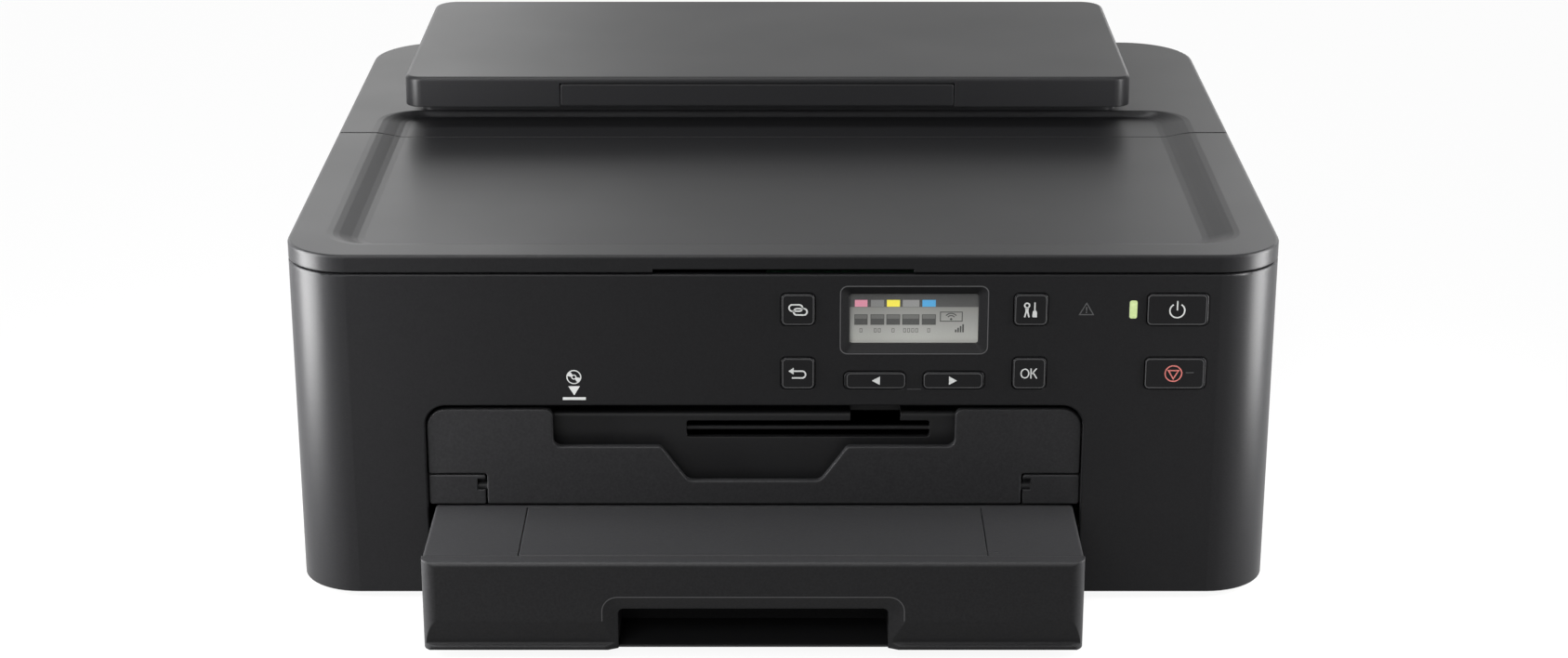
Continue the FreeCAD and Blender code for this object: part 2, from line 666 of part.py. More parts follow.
# Output door, its hinge blocks and the slot guide panel behind it
DOOR_X0 = OPEN_X0 + DOOR_GAP
DOOR_X1 = OPEN_X1 - DOOR_GAP
DOOR_Z0 = CASSETTE_TOP_Z + SEAM
DOOR_Z1 = OPEN_TOP_Z - DOOR_GAP - 1.2
DOOR_PIVOT_Z = DOOR_Z0 + DOOR_PIVOT_RISE
DOOR_BACK = DOOR_RECESS + DOOR_T
PANEL_D = DOOR_BACK + 5.0
PANEL_T = 2.6
PANEL_TOP_Z = PAPER_Z - SLIDE_GAP
SEAT = 5.0
GUIDE_SLOT_X = PATH_X + 20.4
GUIDE_SLOT_W = 92.0
GUIDE_SLOT_H = 6.7
GUIDE_SLOT_DROP = 3.6
APRON_W = 84.0
APRON_DROP = 4.4


def output_door():
    """Drop-down door with the wide notch and trapezoid cut, pivot lugs at the lower corners."""
    left = DOOR_X0 + BLOCK_W + DOOR_GAP
    right = DOOR_X1 - BLOCK_W - DOOR_GAP
    step_z = DOOR_Z0 + BLOCK_H + DOOR_GAP
    notch_z = DOOR_Z1 - NOTCH_DROP
    trap_z = notch_z - TRAP_DROP
    corners = [
        (left, DOOR_Z0, 1),
        (right, DOOR_Z0, 1),
        (right, step_z, 1),
        (DOOR_X1, step_z, 1),
        (DOOR_X1, DOOR_Z1, DOOR_R),
        (PATH_X + NOTCH_W / 2, DOOR_Z1, 3),
        (PATH_X + NOTCH_W / 2, notch_z, 3),
        (PATH_X + TRAP_TOP_W / 2, notch_z, 2),
        (PATH_X + TRAP_BOTTOM_W / 2, trap_z, 4),
        (PATH_X - TRAP_BOTTOM_W / 2, trap_z, 4),
        (PATH_X - TRAP_TOP_W / 2, notch_z, 2),
        (PATH_X - NOTCH_W / 2, notch_z, 3),
        (PATH_X - NOTCH_W / 2, DOOR_Z1, 3),
        (DOOR_X0, DOOR_Z1, DOOR_R),
        (DOOR_X0, step_z, 1),
        (left, step_z, 1),
    ]
    door = soften(front(corners, DOOR_RECESS, DOOR_BACK), 0.5, "Y", at(DOOR_RECESS))
    parts = []
    for x0, pin_x0 in ((left, left - 8), (right - 5, right - 1)):
        lug = rect(DOOR_BACK - 0.5, DOOR_BACK + 2, DOOR_PIVOT_Z - 2.4, DOOR_PIVOT_Z + 2.4)
        parts.append(side(lug, x0, x0 + 5))
        parts.append(rod_x(pin_x0, pin_x0 + 9, DOOR_PIVOT_D, DOOR_PIVOT_Z, DOOR_PIN_R))
    return fuse(door, *parts)


save("output_door", output_door())


def hinge_block(x0, x1, outward):
    """Fixed block at a lower corner of the opening; its flange seats behind the front wall."""
    back = PANEL_D
    top = DOOR_Z0 + BLOCK_H
    body = front(rect(x0, x1, DOOR_Z0, top, 0.8), DOOR_RECESS, back)
    body = soften(body, 0.4, "Y", at(DOOR_RECESS))
    outer_x = x0 if outward < 0 else x1
    inner_x = x1 if outward < 0 else x0
    flange_x = sorted((outer_x - outward * 0.5, outer_x + outward * (DOOR_GAP + SEAT)))
    flange = front(rect(flange_x[0], flange_x[1], DOOR_Z0, top), WALL, back)
    bore = rod_x(inner_x - 9, inner_x + 9, DOOR_PIVOT_D, DOOR_PIVOT_Z, DOOR_PIN_R + RUN)
    catch = block(inner_x - 3, inner_x + 3, DOOR_RECESS - 1, WALL + 0.6, top - 6, top - 1.5)
    return cut(fuse(body, flange), bore, catch)


save(
    "door_hinge_blocks",
    hinge_block(DOOR_X0, DOOR_X0 + BLOCK_W, -1),
    hinge_block(DOOR_X1 - BLOCK_W, DOOR_X1, 1),
)


def inner_cover():
    """Slot guide panel behind the door, with its exit table, guide slot and end tabs."""
    x0 = OPEN_X0 - SEAT
    x1 = OPEN_X1 + SEAT
    z0 = DOOR_Z0 + BLOCK_H
    table_end = FEED_ROLLER_D - FEED_TEETH * GEAR_M - IDLE_TEETH * GEAR_M - ROLLER_R - 3
    profile = [
        (PANEL_D, z0, 0),
        (PANEL_D + PANEL_T, z0, 0),
        (PANEL_D + PANEL_T, PANEL_TOP_Z - PANEL_T, 3),
        (table_end, PANEL_TOP_Z - PANEL_T, 0),
        (table_end, PANEL_TOP_Z, 0),
        (PANEL_D, PANEL_TOP_Z, 2),
    ]
    panel = side(profile, x0, x1)
    slot_z = PANEL_TOP_Z - GUIDE_SLOT_DROP - GUIDE_SLOT_H / 2
    slot_face = middle_rect(GUIDE_SLOT_X, slot_z, GUIDE_SLOT_W, GUIDE_SLOT_H, 1)
    slot = front(slot_face, PANEL_D - 1, PANEL_D + PANEL_T + 1)
    half = GUIDE_SLOT_W / 2
    catch_z = PANEL_TOP_Z - GUIDE_SLOT_DROP - 0.4
    catch_x = GUIDE_SLOT_X + half - 30
    catch = block(catch_x, catch_x + 19, PANEL_D - 1, PANEL_D + 8, catch_z, PAPER_Z)
    bar_x0 = GUIDE_SLOT_X - half - 1
    bar_x1 = GUIDE_SLOT_X + half + 1
    bar = block(bar_x0, bar_x1, PANEL_D + 1, PANEL_D + PANEL_T, slot_z - 0.6, slot_z + 0.6)
    apron_x = APRON_W / 2
    apron = block(PATH_X - apron_x, PATH_X + apron_x, PANEL_D, PANEL_D + PANEL_T, z0 - APRON_DROP, z0 + 1)
    tabs = []
    for tab_x in (x0, x1 - SEAT + 0.5):
        tabs.append(block(tab_x, tab_x + SEAT - 0.5, WALL, PANEL_D + 1, z0 + 3, PANEL_TOP_Z - 4))
    return fuse(cut(panel, slot, catch), bar, apron, *tabs)


save("inner_cover", inner_cover())

# Cassette
CAS_X0 = PATH_X - CASSETTE_W / 2
CAS_X1 = PATH_X + CASSETTE_W / 2
CAS_FRONT = -CASSETTE_REACH
FASCIA_BACK = CAS_FRONT + FASCIA_D
TRAY_Z = FLOOR_Z + 2 * FIT
TRAY_X0 = CAS_X0 + 0.6
TRAY_X1 = CAS_X1 - 0.6
LID_Z = CASSETTE_TOP_Z - LID_T
POCKET_D = FASCIA_BACK + 22
TRAY_FRONT = POCKET_D + SLIDE_GAP
TRAY_BACK = TRAY_FRONT + 2 * TRAY_T + PAPER_L
HANDLE_TOP_Z = CASSETTE_BOTTOM_Z + HANDLE_H


def cassette_front():
    """Fascia with undercut foot, bevelled handle recess and finger pocket behind it."""
    profile = [
        (CAS_FRONT, CASSETTE_TOP_Z, 1.6),
        (FASCIA_BACK, CASSETTE_TOP_Z, 0),
        (FASCIA_BACK, CASSETTE_BOTTOM_Z, 0),
        (CAS_FRONT + 0.6, CASSETTE_BOTTOM_Z, 0.4),
        (CAS_FRONT + 0.6, CASSETTE_BOTTOM_Z + 1.4, 0.4),
        (CAS_FRONT + UNDERCUT, CASSETTE_BOTTOM_Z + LIP_STEP, 0.8),
        (CAS_FRONT, CASSETTE_BOTTOM_Z + UNDERCUT_H, 6),
    ]
    foot = [
        (CAS_X0, CAS_FRONT, FASCIA_R / 2 + 1),
        (CAS_X1, CAS_FRONT, FASCIA_R / 2 + 1),
        (CAS_X1, FASCIA_BACK, 0),
        (CAS_X0, FASCIA_BACK, 0),
    ]
    body = side(profile, CAS_X0, CAS_X1).common(plan(foot, 0, CASSETTE_TOP_Z + 1))
    hollow_d = CAS_FRONT + UNDERCUT + FASCIA_T
    hollow = rect(CAS_X0 + FASCIA_T, CAS_X1 - FASCIA_T, hollow_d, FASCIA_BACK + 1)
    body = body.cut(plan(hollow, CASSETTE_BOTTOM_Z + LIP_STEP + 1.1, LID_Z))
    pocket_wall = [
        (PATH_X - HANDLE_W / 2 - TRAY_T, CASSETTE_BOTTOM_Z, 0),
        (PATH_X + HANDLE_W / 2 + TRAY_T, CASSETTE_BOTTOM_Z, 0),
        (PATH_X + HANDLE_W / 2 + TRAY_T, HANDLE_TOP_Z + TRAY_T, 3),
        (PATH_X - HANDLE_W / 2 - TRAY_T, HANDLE_TOP_Z + TRAY_T, 3),
    ]
    pocket = [
        (PATH_X - HANDLE_W / 2, CASSETTE_BOTTOM_Z - 1, 0),
        (PATH_X + HANDLE_W / 2, CASSETTE_BOTTOM_Z - 1, 0),
        (PATH_X + HANDLE_W / 2, HANDLE_TOP_Z, 2),
        (PATH_X - HANDLE_W / 2, HANDLE_TOP_Z, 2),
    ]
    rim_x = HANDLE_W / 2 + BEVEL
    rim = [
        (PATH_X - rim_x, CASSETTE_BOTTOM_Z - 1, 0),
        (PATH_X + rim_x, CASSETTE_BOTTOM_Z - 1, 0),
        (PATH_X + rim_x, HANDLE_TOP_Z + BEVEL, 6),
        (PATH_X - rim_x, HANDLE_TOP_Z + BEVEL, 6),
    ]
    body = fuse(body, front(pocket_wall, CAS_FRONT + 3, POCKET_D))
    body = body.cut(front(pocket, CAS_FRONT - 1, POCKET_D - TRAY_T))
    bevel = [front_wire(rim, CAS_FRONT - 0.01), front_wire(pocket, CAS_FRONT + BEVEL_D)]
    return body.cut(Part.makeLoft(bevel, True, True))


save("cassette_front", cassette_front())


def cassette_tray():
    """Open paper tray with a front wall, lower rear wall and floor ribs."""
    outer = block(TRAY_X0, TRAY_X1, FASCIA_BACK, TRAY_BACK, TRAY_Z, LID_Z)
    inner_x0 = TRAY_X0 + TRAY_T
    inner_x1 = TRAY_X1 - TRAY_T
    inner = block(inner_x0, inner_x1, TRAY_FRONT + TRAY_T, TRAY_BACK - TRAY_T, TRAY_Z + TRAY_T, LID_Z + 1)
    bay = block(inner_x0, inner_x1, FASCIA_BACK - 1, TRAY_FRONT, TRAY_Z + TRAY_T, LID_Z + 1)
    pocket_x = HANDLE_W / 2 + TRAY_T + SLIDE_GAP
    way = block(PATH_X - pocket_x, PATH_X + pocket_x, FASCIA_BACK - 1, TRAY_FRONT, TRAY_Z - 1, LID_Z)
    low_rear = block(inner_x0, inner_x1, TRAY_BACK - TRAY_T - 1, TRAY_BACK + 1, LID_Z - 8, LID_Z + 1)
    tray = cut(outer, inner, bay, way, low_rear)
    ribs = []
    for x in (PATH_X - PAPER_W / 8, PATH_X + PAPER_W / 8):
        rib_d0 = TRAY_FRONT + TRAY_T
        rib_z1 = TRAY_Z + TRAY_T + TRAY_RIB_H
        ribs.append(block(x - 1, x + 1, rib_d0, rib_d0 + TRAY_RIB_L, TRAY_Z + 1, rib_z1))
    return fuse(tray, *ribs)


save("cassette_tray", cassette_tray())

FLAP_X0 = PATH_X - FLAP_W / 2
FLAP_X1 = PATH_X + FLAP_W / 2
FLAP_FRONT = FASCIA_BACK + FIT
FLAP_BACK = FLAP_FRONT + FLAP_L
FLAP_PIVOT_D = FLAP_FRONT + FLAP_TOE
FLAP_PIVOT_Z = CASSETTE_TOP_Z - FLAP_T / 2


def cassette_lid():
    """Lid over the front of the tray, with the pocket and pivot bores of the flap."""
    lid = block(CAS_X0 + FIT, CAS_X1 - FIT, FASCIA_BACK, FASCIA_BACK + LID_L, LID_Z, CASSETTE_TOP_Z)
    side_edges = []
    for edge in flat_edges(lid, "Z", CASSETTE_TOP_Z):
        if abs(edge.CenterOfMass.x - PATH_X) > CASSETTE_W / 3:
            side_edges.append(edge)
    lid = lid.makeFillet(1.2, side_edges)
    x0 = FLAP_X0 - FIT
    x1 = FLAP_X1 + FIT
    seat_z = CASSETTE_TOP_Z - FLAP_T - FIT
    pocket = block(x0, x1, FASCIA_BACK - 1, FLAP_BACK + FIT, seat_z, CASSETTE_TOP_Z + 1)
    toe = block(x0, x1, FASCIA_BACK - 1, FLAP_PIVOT_D + FLAP_TOE + 2, 0, CASSETTE_TOP_Z)
    under = rect(CAS_X0 + 8, CAS_X1 - 8, FLAP_BACK + 6, FASCIA_BACK + LID_L - 4, 3)
    hollow = plan(under, LID_Z - 1, CASSETTE_TOP_Z - SKIN)
    bores = []
    for x in (FLAP_X0, FLAP_X1):
        bores.append(rod_x(x - 4, x + 4, FLAP_PIVOT_D, FLAP_PIVOT_Z, FLAP_PIN_R + RUN))
    return cut(lid, pocket, toe, hollow, *bores)


save("cassette_lid", cassette_lid())

flap = side(
    [
        (FLAP_FRONT, CASSETTE_TOP_Z - FLAP_T, 0.5),
        (FLAP_BACK, CASSETTE_TOP_Z - FLAP_T, 0),
        (FLAP_BACK, CASSETTE_TOP_Z, 0.4),
        (FLAP_FRONT, CASSETTE_TOP_Z, 0.5),
    ],
    FLAP_X0,
    FLAP_X1,
)
flap_pins = [rod_x(x - 3, x + 3, FLAP_PIVOT_D, FLAP_PIVOT_Z, FLAP_PIN_R) for x in (FLAP_X0, FLAP_X1)]
save("output_flap", fuse(flap, *flap_pins))

# Paper guides that slide on the tray floor
GUIDE_Z = TRAY_Z + TRAY_T + FIT
GUIDE_TOP_Z = GUIDE_Z + GUIDE_H
GUIDE_D0 = TRAY_FRONT + TRAY_T + TRAY_RIB_L + 3
GUIDE_D1 = GUIDE_D0 + GUIDE_L
for name, hand in (("cassette_guide_left", -1), ("cassette_guide_right", 1)):
    face_x = PATH_X + hand * (PAPER_W / 2 + FACE)
    wall_x = sorted((face_x, face_x + hand * GUIDE_T))
    foot_x = sorted((face_x - hand * GUIDE_FOOT_W, face_x + hand * 0.5))
    guide_wall = side(rect(GUIDE_D0, GUIDE_D1, GUIDE_Z, GUIDE_TOP_Z, 2), wall_x[0], wall_x[1])
    foot_plan = rect(foot_x[0], foot_x[1], GUIDE_D0 + 10, GUIDE_D1 - 10)
    save(name, fuse(guide_wall, plan(foot_plan, GUIDE_Z, GUIDE_Z + GUIDE_FOOT_T)))

END_D = TRAY_BACK - TRAY_T - 8
end_wall = front(middle_rect(PATH_X, (GUIDE_Z + GUIDE_TOP_Z) / 2, END_W, GUIDE_H, 3), END_D, END_D + 2)
end_plan = rect(PATH_X - END_W / 3, PATH_X + END_W / 3, END_D - END_FOOT_L, END_D + 1, 3)
save("cassette_guide_end", fuse(end_wall, plan(end_plan, GUIDE_Z, GUIDE_Z + GUIDE_FOOT_T)))

# Feed gears and rollers
FEED_ROLLER_Z = PAPER_Z - ROLLER_R
GEAR_STEP = GEAR_M * (FEED_TEETH + IDLE_TEETH) / 2
IDLE_D = FEED_ROLLER_D - GEAR_STEP
EJECT_D = FEED_ROLLER_D - 2 * GEAR_STEP
PINION_REACH = GEAR_M * (FEED_TEETH + PINION_TEETH) / 2
PINION_D = FEED_ROLLER_D + PINION_REACH * math.cos(math.radians(MOTOR_ANGLE))
PINION_Z = FEED_ROLLER_Z + PINION_REACH * math.sin(math.radians(MOTOR_ANGLE))
GEAR_X1 = -PLATE_OUT_X - 1.0
GEAR_X0 = GEAR_X1 - GEAR_W


def gear(teeth, depth, z, phase, bore):
    """Spur gear outside the left side plate; teeth cut thin for backlash."""
    pitch_r = GEAR_M * teeth / 2
    step = 2 * math.pi / teeth
    corners = []
    for tooth in range(teeth):
        middle = math.radians(phase) + tooth * step
        for radius, share in (
            (pitch_r - 1.2 * GEAR_M, -0.31),
            (pitch_r + 0.85 * GEAR_M, -0.10),
            (pitch_r + 0.85 * GEAR_M, 0.10),
            (pitch_r - 1.2 * GEAR_M, 0.31),
        ):
            angle = middle + share * step
            corners.append((depth + radius * math.cos(angle), z + radius * math.sin(angle), 0))
    disc = side(corners, GEAR_X0, GEAR_X1)
    return disc.cut(rod_x(GEAR_X0 - 1, GEAR_X1 + 1, depth, z, bore)) if bore else disc


def phase_against(angle, teeth):
    """Tooth phase that puts a gap at this angle."""
    return angle + 180.0 / teeth


feed_gear = gear(FEED_TEETH, FEED_ROLLER_D, FEED_ROLLER_Z, 0, 0)
feed_shaft = rod_x(GEAR_X0, PLATE_OUT_X + 2, FEED_ROLLER_D, FEED_ROLLER_Z, SHAFT_R)
drum_reach = PAPER_W / 2 + 6
feed_drum = rod_x(PATH_X - drum_reach, PATH_X + drum_reach, FEED_ROLLER_D, FEED_ROLLER_Z, ROLLER_R)
save("feed_roller", fuse(feed_shaft, feed_drum, feed_gear))

eject_gear = gear(FEED_TEETH, EJECT_D, FEED_ROLLER_Z, phase_against(0, FEED_TEETH), 0)
eject_shaft = rod_x(GEAR_X0, PLATE_OUT_X + 2, EJECT_D, FEED_ROLLER_Z, SHAFT_R)
EJECT_RINGS = 8
ring_step = PAPER_W / EJECT_RINGS
rings = []
for i in range(EJECT_RINGS):
    ring_x = PATH_X + (i - (EJECT_RINGS - 1) / 2) * ring_step
    rings.append(rod_x(ring_x - 4, ring_x + 4, EJECT_D, FEED_ROLLER_Z, ROLLER_R))
save("eject_roller", fuse(eject_shaft, eject_gear, *rings))

IDLE_PIN_R = 2.5
save("idler_gear", gear(IDLE_TEETH, IDLE_D, FEED_ROLLER_Z, phase_against(0, IDLE_TEETH), IDLE_PIN_R + RUN))
MOTOR_SHAFT_R = 1.5
MOTOR_BORE_L = 6.5
MOTOR_EDGE_R = 1.5
pinion = gear(PINION_TEETH, PINION_D, PINION_Z, phase_against(MOTOR_ANGLE + 180, PINION_TEETH), 0)
pinion_shaft = rod_x(GEAR_X1 - 0.5, -PLATE_X + MOTOR_BORE_L - FACE, PINION_D, PINION_Z, MOTOR_SHAFT_R)
save("motor_pinion", fuse(pinion, pinion_shaft))
FEED_MOTOR_R = 12.0
FEED_MOTOR_L = 26.0
motor_can = rod_x(-PLATE_X, -PLATE_X + FEED_MOTOR_L, PINION_D, PINION_Z, FEED_MOTOR_R)
motor_can = soften(motor_can, MOTOR_EDGE_R, "X", -PLATE_X + FEED_MOTOR_L)
motor_bore = rod_x(-PLATE_X - 1, -PLATE_X + MOTOR_BORE_L, PINION_D, PINION_Z, MOTOR_SHAFT_R + RUN)
save("feed_motor", motor_can.cut(motor_bore))

# Print frame: side plates, rail beam, guide shaft
RAIL_Z = PAPER_Z + RAIL_RISE
BEAM_TOP_Z = CASE_TOP_Z - BEAM_BELOW
CHUTE_TOP_Z = RIM_Z - SKIN - FIT
CHUTE_RUN = 0.51
CHUTE_FLOOR_Z = PAPER_Z - 3.5
CHUTE_T = 2.2


def chute_d(z):
    """Depth of the steep feed wall's front face at a height."""
    return SLOT_REAR - (CHUTE_TOP_Z - z) * CHUTE_RUN


PICK_Z = CHUTE_FLOOR_Z + 34.0
PICK_D = chute_d(PICK_Z) - (PICK_R + FACE) * math.sqrt(1 + CHUTE_RUN**2)


def side_plate(x0):
    """Folded steel side plate; the holes carry the shafts."""
    plate = side(
        [
            (EJECT_D - 14, FLOOR_Z, 3),
            (BODY_D - 22, FLOOR_Z, 3),
            (BODY_D - 22, PICK_Z + 12, 8),
            (BEAM_D + 30, BEAM_TOP_Z, 8),
            (EJECT_D - 14, BEAM_TOP_Z, 8),
        ],
        x0,
        x0 + SHEET,
    )
    for depth, z, radius in (
        (FEED_ROLLER_D, FEED_ROLLER_Z, SHAFT_R),
        (EJECT_D, FEED_ROLLER_Z, SHAFT_R),
        (PICK_D, PICK_Z, SHAFT_R),
        (ARM_PIVOT_D, ARM_PIVOT_Z, SHAFT_R),
        (RAIL_D, RAIL_Z, RAIL_R),
    ):
        plate = plate.cut(rod_x(x0 - 1, x0 + SHEET + 1, depth, z, radius + RUN))
    window = rect(EJECT_D + 2, PINION_D - FEED_MOTOR_R - 6, FLOOR_Z + 8, FEED_ROLLER_Z - 22, 5)
    return plate.cut(side(window, x0 - 1, x0 + SHEET + 1))


left_plate = side_plate(-PLATE_OUT_X)
left_plate = left_plate.cut(rod_x(-PLATE_OUT_X - 1, -PLATE_X + 1, PINION_D, PINION_Z, MOTOR_SHAFT_R + RUN))
idle_pin = rod_x(GEAR_X0, -PLATE_OUT_X + 0.2, IDLE_D, FEED_ROLLER_Z, IDLE_PIN_R)
save("side_plates", fuse(left_plate, idle_pin), side_plate(PLATE_X))

save("carriage_shaft", rod_x(-PLATE_OUT_X, PLATE_OUT_X, RAIL_D, RAIL_Z, RAIL_R))

BEAM_Z = PAPER_Z + 10.0
BELT_Z = RAIL_Z + 4.0
LIP_D = BEAM_D - 16
LIP_H = 7.0


def chassis_beam():
    """Folded sheet beam behind the carriage; its down-turned lip guides the carriage top."""
    profile = [
        (BEAM_D + 8, BEAM_Z, 0),
        (BEAM_D + 8, BEAM_Z + SHEET, 0),
        (BEAM_D + SHEET, BEAM_Z + SHEET, 1),
        (BEAM_D + SHEET, BEAM_TOP_Z, 2.2),
        (LIP_D, BEAM_TOP_Z, 2.2),
        (LIP_D, BEAM_TOP_Z - LIP_H, 0),
        (LIP_D + SHEET, BEAM_TOP_Z - LIP_H, 0),
        (LIP_D + SHEET, BEAM_TOP_Z - SHEET, 1),
        (BEAM_D, BEAM_TOP_Z - SHEET, 1),
        (BEAM_D, BEAM_Z, 2.2),
    ]
    beam = side(profile, -PLATE_X, PLATE_X)
    for x in (-PULLEY_X, PULLEY_X):
        beam = beam.cut(rod_y(BEAM_D - 1, BEAM_D + SHEET + 1, x, BELT_Z, MOTOR_SHAFT_R + RUN))
    for i in range(5):
        x = (i - 2) * PLATE_X / 3
        hole = middle_rect(x, (BEAM_Z + BEAM_TOP_Z) / 2, PLATE_X / 6, 14, 4)
        beam = beam.cut(front(hole, BEAM_D - 1, BEAM_D + SHEET + 1))
    return beam


save("chassis_beam", chassis_beam())

# Belt drive of the carriage
BELT_D = BEAM_D - 4 - BELT_W
PULLEY_D0 = BELT_D - 1.5
PULLEY_D1 = BELT_D + BELT_W + 1.5


def pulley(x, shaft_back):
    """Flanged belt pulley on its own shaft, axis along Y."""
    drum = rod_y(PULLEY_D0, PULLEY_D1, x, BELT_Z, PULLEY_R)
    flanges = []
    for d0 in (PULLEY_D0, PULLEY_D1 - 1):
        flanges.append(rod_y(d0, d0 + 1, x, BELT_Z, PULLEY_R + BELT_T + 1.2))
    shaft = rod_y(PULLEY_D0, shaft_back, x, BELT_Z, MOTOR_SHAFT_R)
    return fuse(drum, shaft, *flanges)


save("drive_pulley", pulley(-PULLEY_X, BEAM_D + SHEET + MOTOR_BORE_L - FACE))
save("idle_pulley", pulley(PULLEY_X, BEAM_D + SHEET + FACE))


def belt_ring(radius):
    loop = middle_rect(0, BELT_Z, 2 * PULLEY_X + 2 * radius, 2 * radius, radius - 1e-4)
    return front(loop, BELT_D, BELT_D + BELT_W)


save("timing_belt", belt_ring(PULLEY_R + FIT + BELT_T).cut(belt_ring(PULLEY_R + FIT)))

CAR_MOTOR_R = 14.0
CAR_MOTOR_L = 30.0
motor_front = BEAM_D + SHEET
car_motor = rod_y(motor_front, motor_front + CAR_MOTOR_L, -PULLEY_X, BELT_Z, CAR_MOTOR_R)
car_motor = soften(car_motor, MOTOR_EDGE_R, "Y", at(motor_front + CAR_MOTOR_L))
car_bore = rod_y(BEAM_D, motor_front + MOTOR_BORE_L, -PULLEY_X, BELT_Z, MOTOR_SHAFT_R + RUN)
save("carriage_motor", car_motor.cut(car_bore))

STRIP_D = LIP_D + 1.5
save("encoder_strip", block(-PLATE_X, PLATE_X, STRIP_D, STRIP_D + 0.4, BEAM_Z + 1, BEAM_Z + 7))

# Carriage, print head and tanks, at home over the purge unit
CAR_X0 = CARRIAGE_X - CARRIAGE_W / 2
CAR_X1 = CARRIAGE_X + CARRIAGE_W / 2
CAR_BACK = CARRIAGE_FRONT + CARRIAGE_D
CAR_Z = PAPER_Z + 10.0
CAR_TOP_Z = BEAM_TOP_Z
CAR_T = 2.0
HEAD_GAP = 1.6
HEAD_W = 36.0
HEAD_L = 34.0
HEAD_X = CAR_X1 - 5 - HEAD_W / 2
HEAD_D = CARRIAGE_FRONT + 6 + HEAD_L / 2


def tank_places():
    """Left edge and width of each tank, side by side in the carriage."""
    places = []
    x = CAR_X0 + CAR_T + (CARRIAGE_W - 2 * CAR_T - 4 * TANK_W - TANK_WIDE - 4 * TANK_GAP) / 2
    for width in (TANK_W, TANK_W, TANK_W, TANK_WIDE, TANK_W):
        places.append((x, width))
        x += width + TANK_GAP
    return places


def carriage():
    """Open-topped holder with tank bays, shaft bearing, belt clip and rail hook."""
    box = block(CAR_X0, CAR_X1, CARRIAGE_FRONT, CAR_BACK, CAR_Z, CAR_TOP_Z)
    low_front = side(
        [
            (CARRIAGE_FRONT - 1, CAR_TOP_Z - 14, 0),
            (CARRIAGE_FRONT + CAR_T + 4, CAR_TOP_Z - 14, 4),
            (CARRIAGE_FRONT + CAR_T + 10, CAR_TOP_Z + 1, 0),
            (CARRIAGE_FRONT - 1, CAR_TOP_Z + 1, 0),
        ],
        CAR_X0 - 1,
        CAR_X1 + 1,
    )
    box = box.cut(low_front)
    bay_d0 = CARRIAGE_FRONT + CAR_T
    bay_d1 = CAR_BACK - CAR_T
    for x, width in tank_places():
        box = box.cut(block(x - FIT, x + width + FIT, bay_d0, bay_d1, CAR_Z + CAR_T, CAR_TOP_Z + 1))
    bearing = side(
        [
            (CAR_BACK - 1, CAR_Z + 3, 0),
            (RAIL_D + RAIL_R + 2, CAR_Z + 3, 3),
            (RAIL_D + RAIL_R + 2, RAIL_Z + RAIL_R + 4, 3),
            (CAR_BACK - 1, RAIL_Z + RAIL_R + 8, 0),
        ],
        CAR_X0 + 4,
        CAR_X1 - 4,
    )
    clip_x = HOOK_W / 2 - 4
    clip = block(CARRIAGE_X - clip_x, CARRIAGE_X + clip_x, RAIL_D, PULLEY_D0 - FIT, BELT_Z + 3, BELT_Z + 8)
    hook_x0 = CARRIAGE_X - HOOK_W / 2
    hook_x1 = CARRIAGE_X + HOOK_W / 2
    hook_d = LIP_D + SHEET + 3.5
    lip_z = BEAM_TOP_Z - LIP_H
    hook = side(
        [
            (CAR_BACK - 1, lip_z - 5, 0),
            (hook_d, lip_z - 5, 1.5),
            (hook_d, BEAM_TOP_Z - SHEET - 1, 0),
            (LIP_D - 6, BEAM_TOP_Z - SHEET - 1, 0),
            (CAR_BACK - 1, CAR_TOP_Z - 2, 0),
        ],
        hook_x0,
        hook_x1,
    )
    groove_d = (LIP_D - SLIDE_GAP, LIP_D + SHEET + SLIDE_GAP)
    groove = block(hook_x0 - 1, hook_x1 + 1, *groove_d, lip_z - SLIDE_GAP, BEAM_TOP_Z)
    bore = rod_x(CAR_X0, CAR_X1, RAIL_D, RAIL_Z, RAIL_R + RUN)
    return cut(fuse(box, bearing, clip, hook.cut(groove)), bore)


save("carriage", carriage())
head = plan(middle_rect(HEAD_X, HEAD_D, HEAD_W, HEAD_L, 2), PAPER_Z + HEAD_GAP, CAR_Z)
save("print_head", soften(head, 1.0, "Z", PAPER_Z + HEAD_GAP))

tanks = []
for tank_x, tank_w in tank_places():
    tank_d0 = CARRIAGE_FRONT + CAR_T + FIT
    tank_d1 = CAR_BACK - CAR_T - FIT
    tank_z = CAR_Z + CAR_T
    tank = side(
        [
            (tank_d0, tank_z, 2),
            (tank_d1, tank_z, 2),
            (tank_d1, CAR_TOP_Z, 3),
            (tank_d0 + 14, CAR_TOP_Z, 2),
            (tank_d0 + 10, CAR_TOP_Z + 3, 1),
            (tank_d0 + 6, CAR_TOP_Z + 3, 1),
            (tank_d0, CAR_TOP_Z - 12, 2),
        ],
        tank_x,
        tank_x + tank_w,
    )
    tanks.append(tank)
save("ink_tanks", *tanks)

# Fixed paper path pieces
PLATEN_FRONT = EJECT_D + ROLLER_R + 3
PLATEN_BACK = FEED_ROLLER_D - ROLLER_R - 3
PURGE_X0 = HEAD_X - HEAD_W / 2 - PARK_GAP


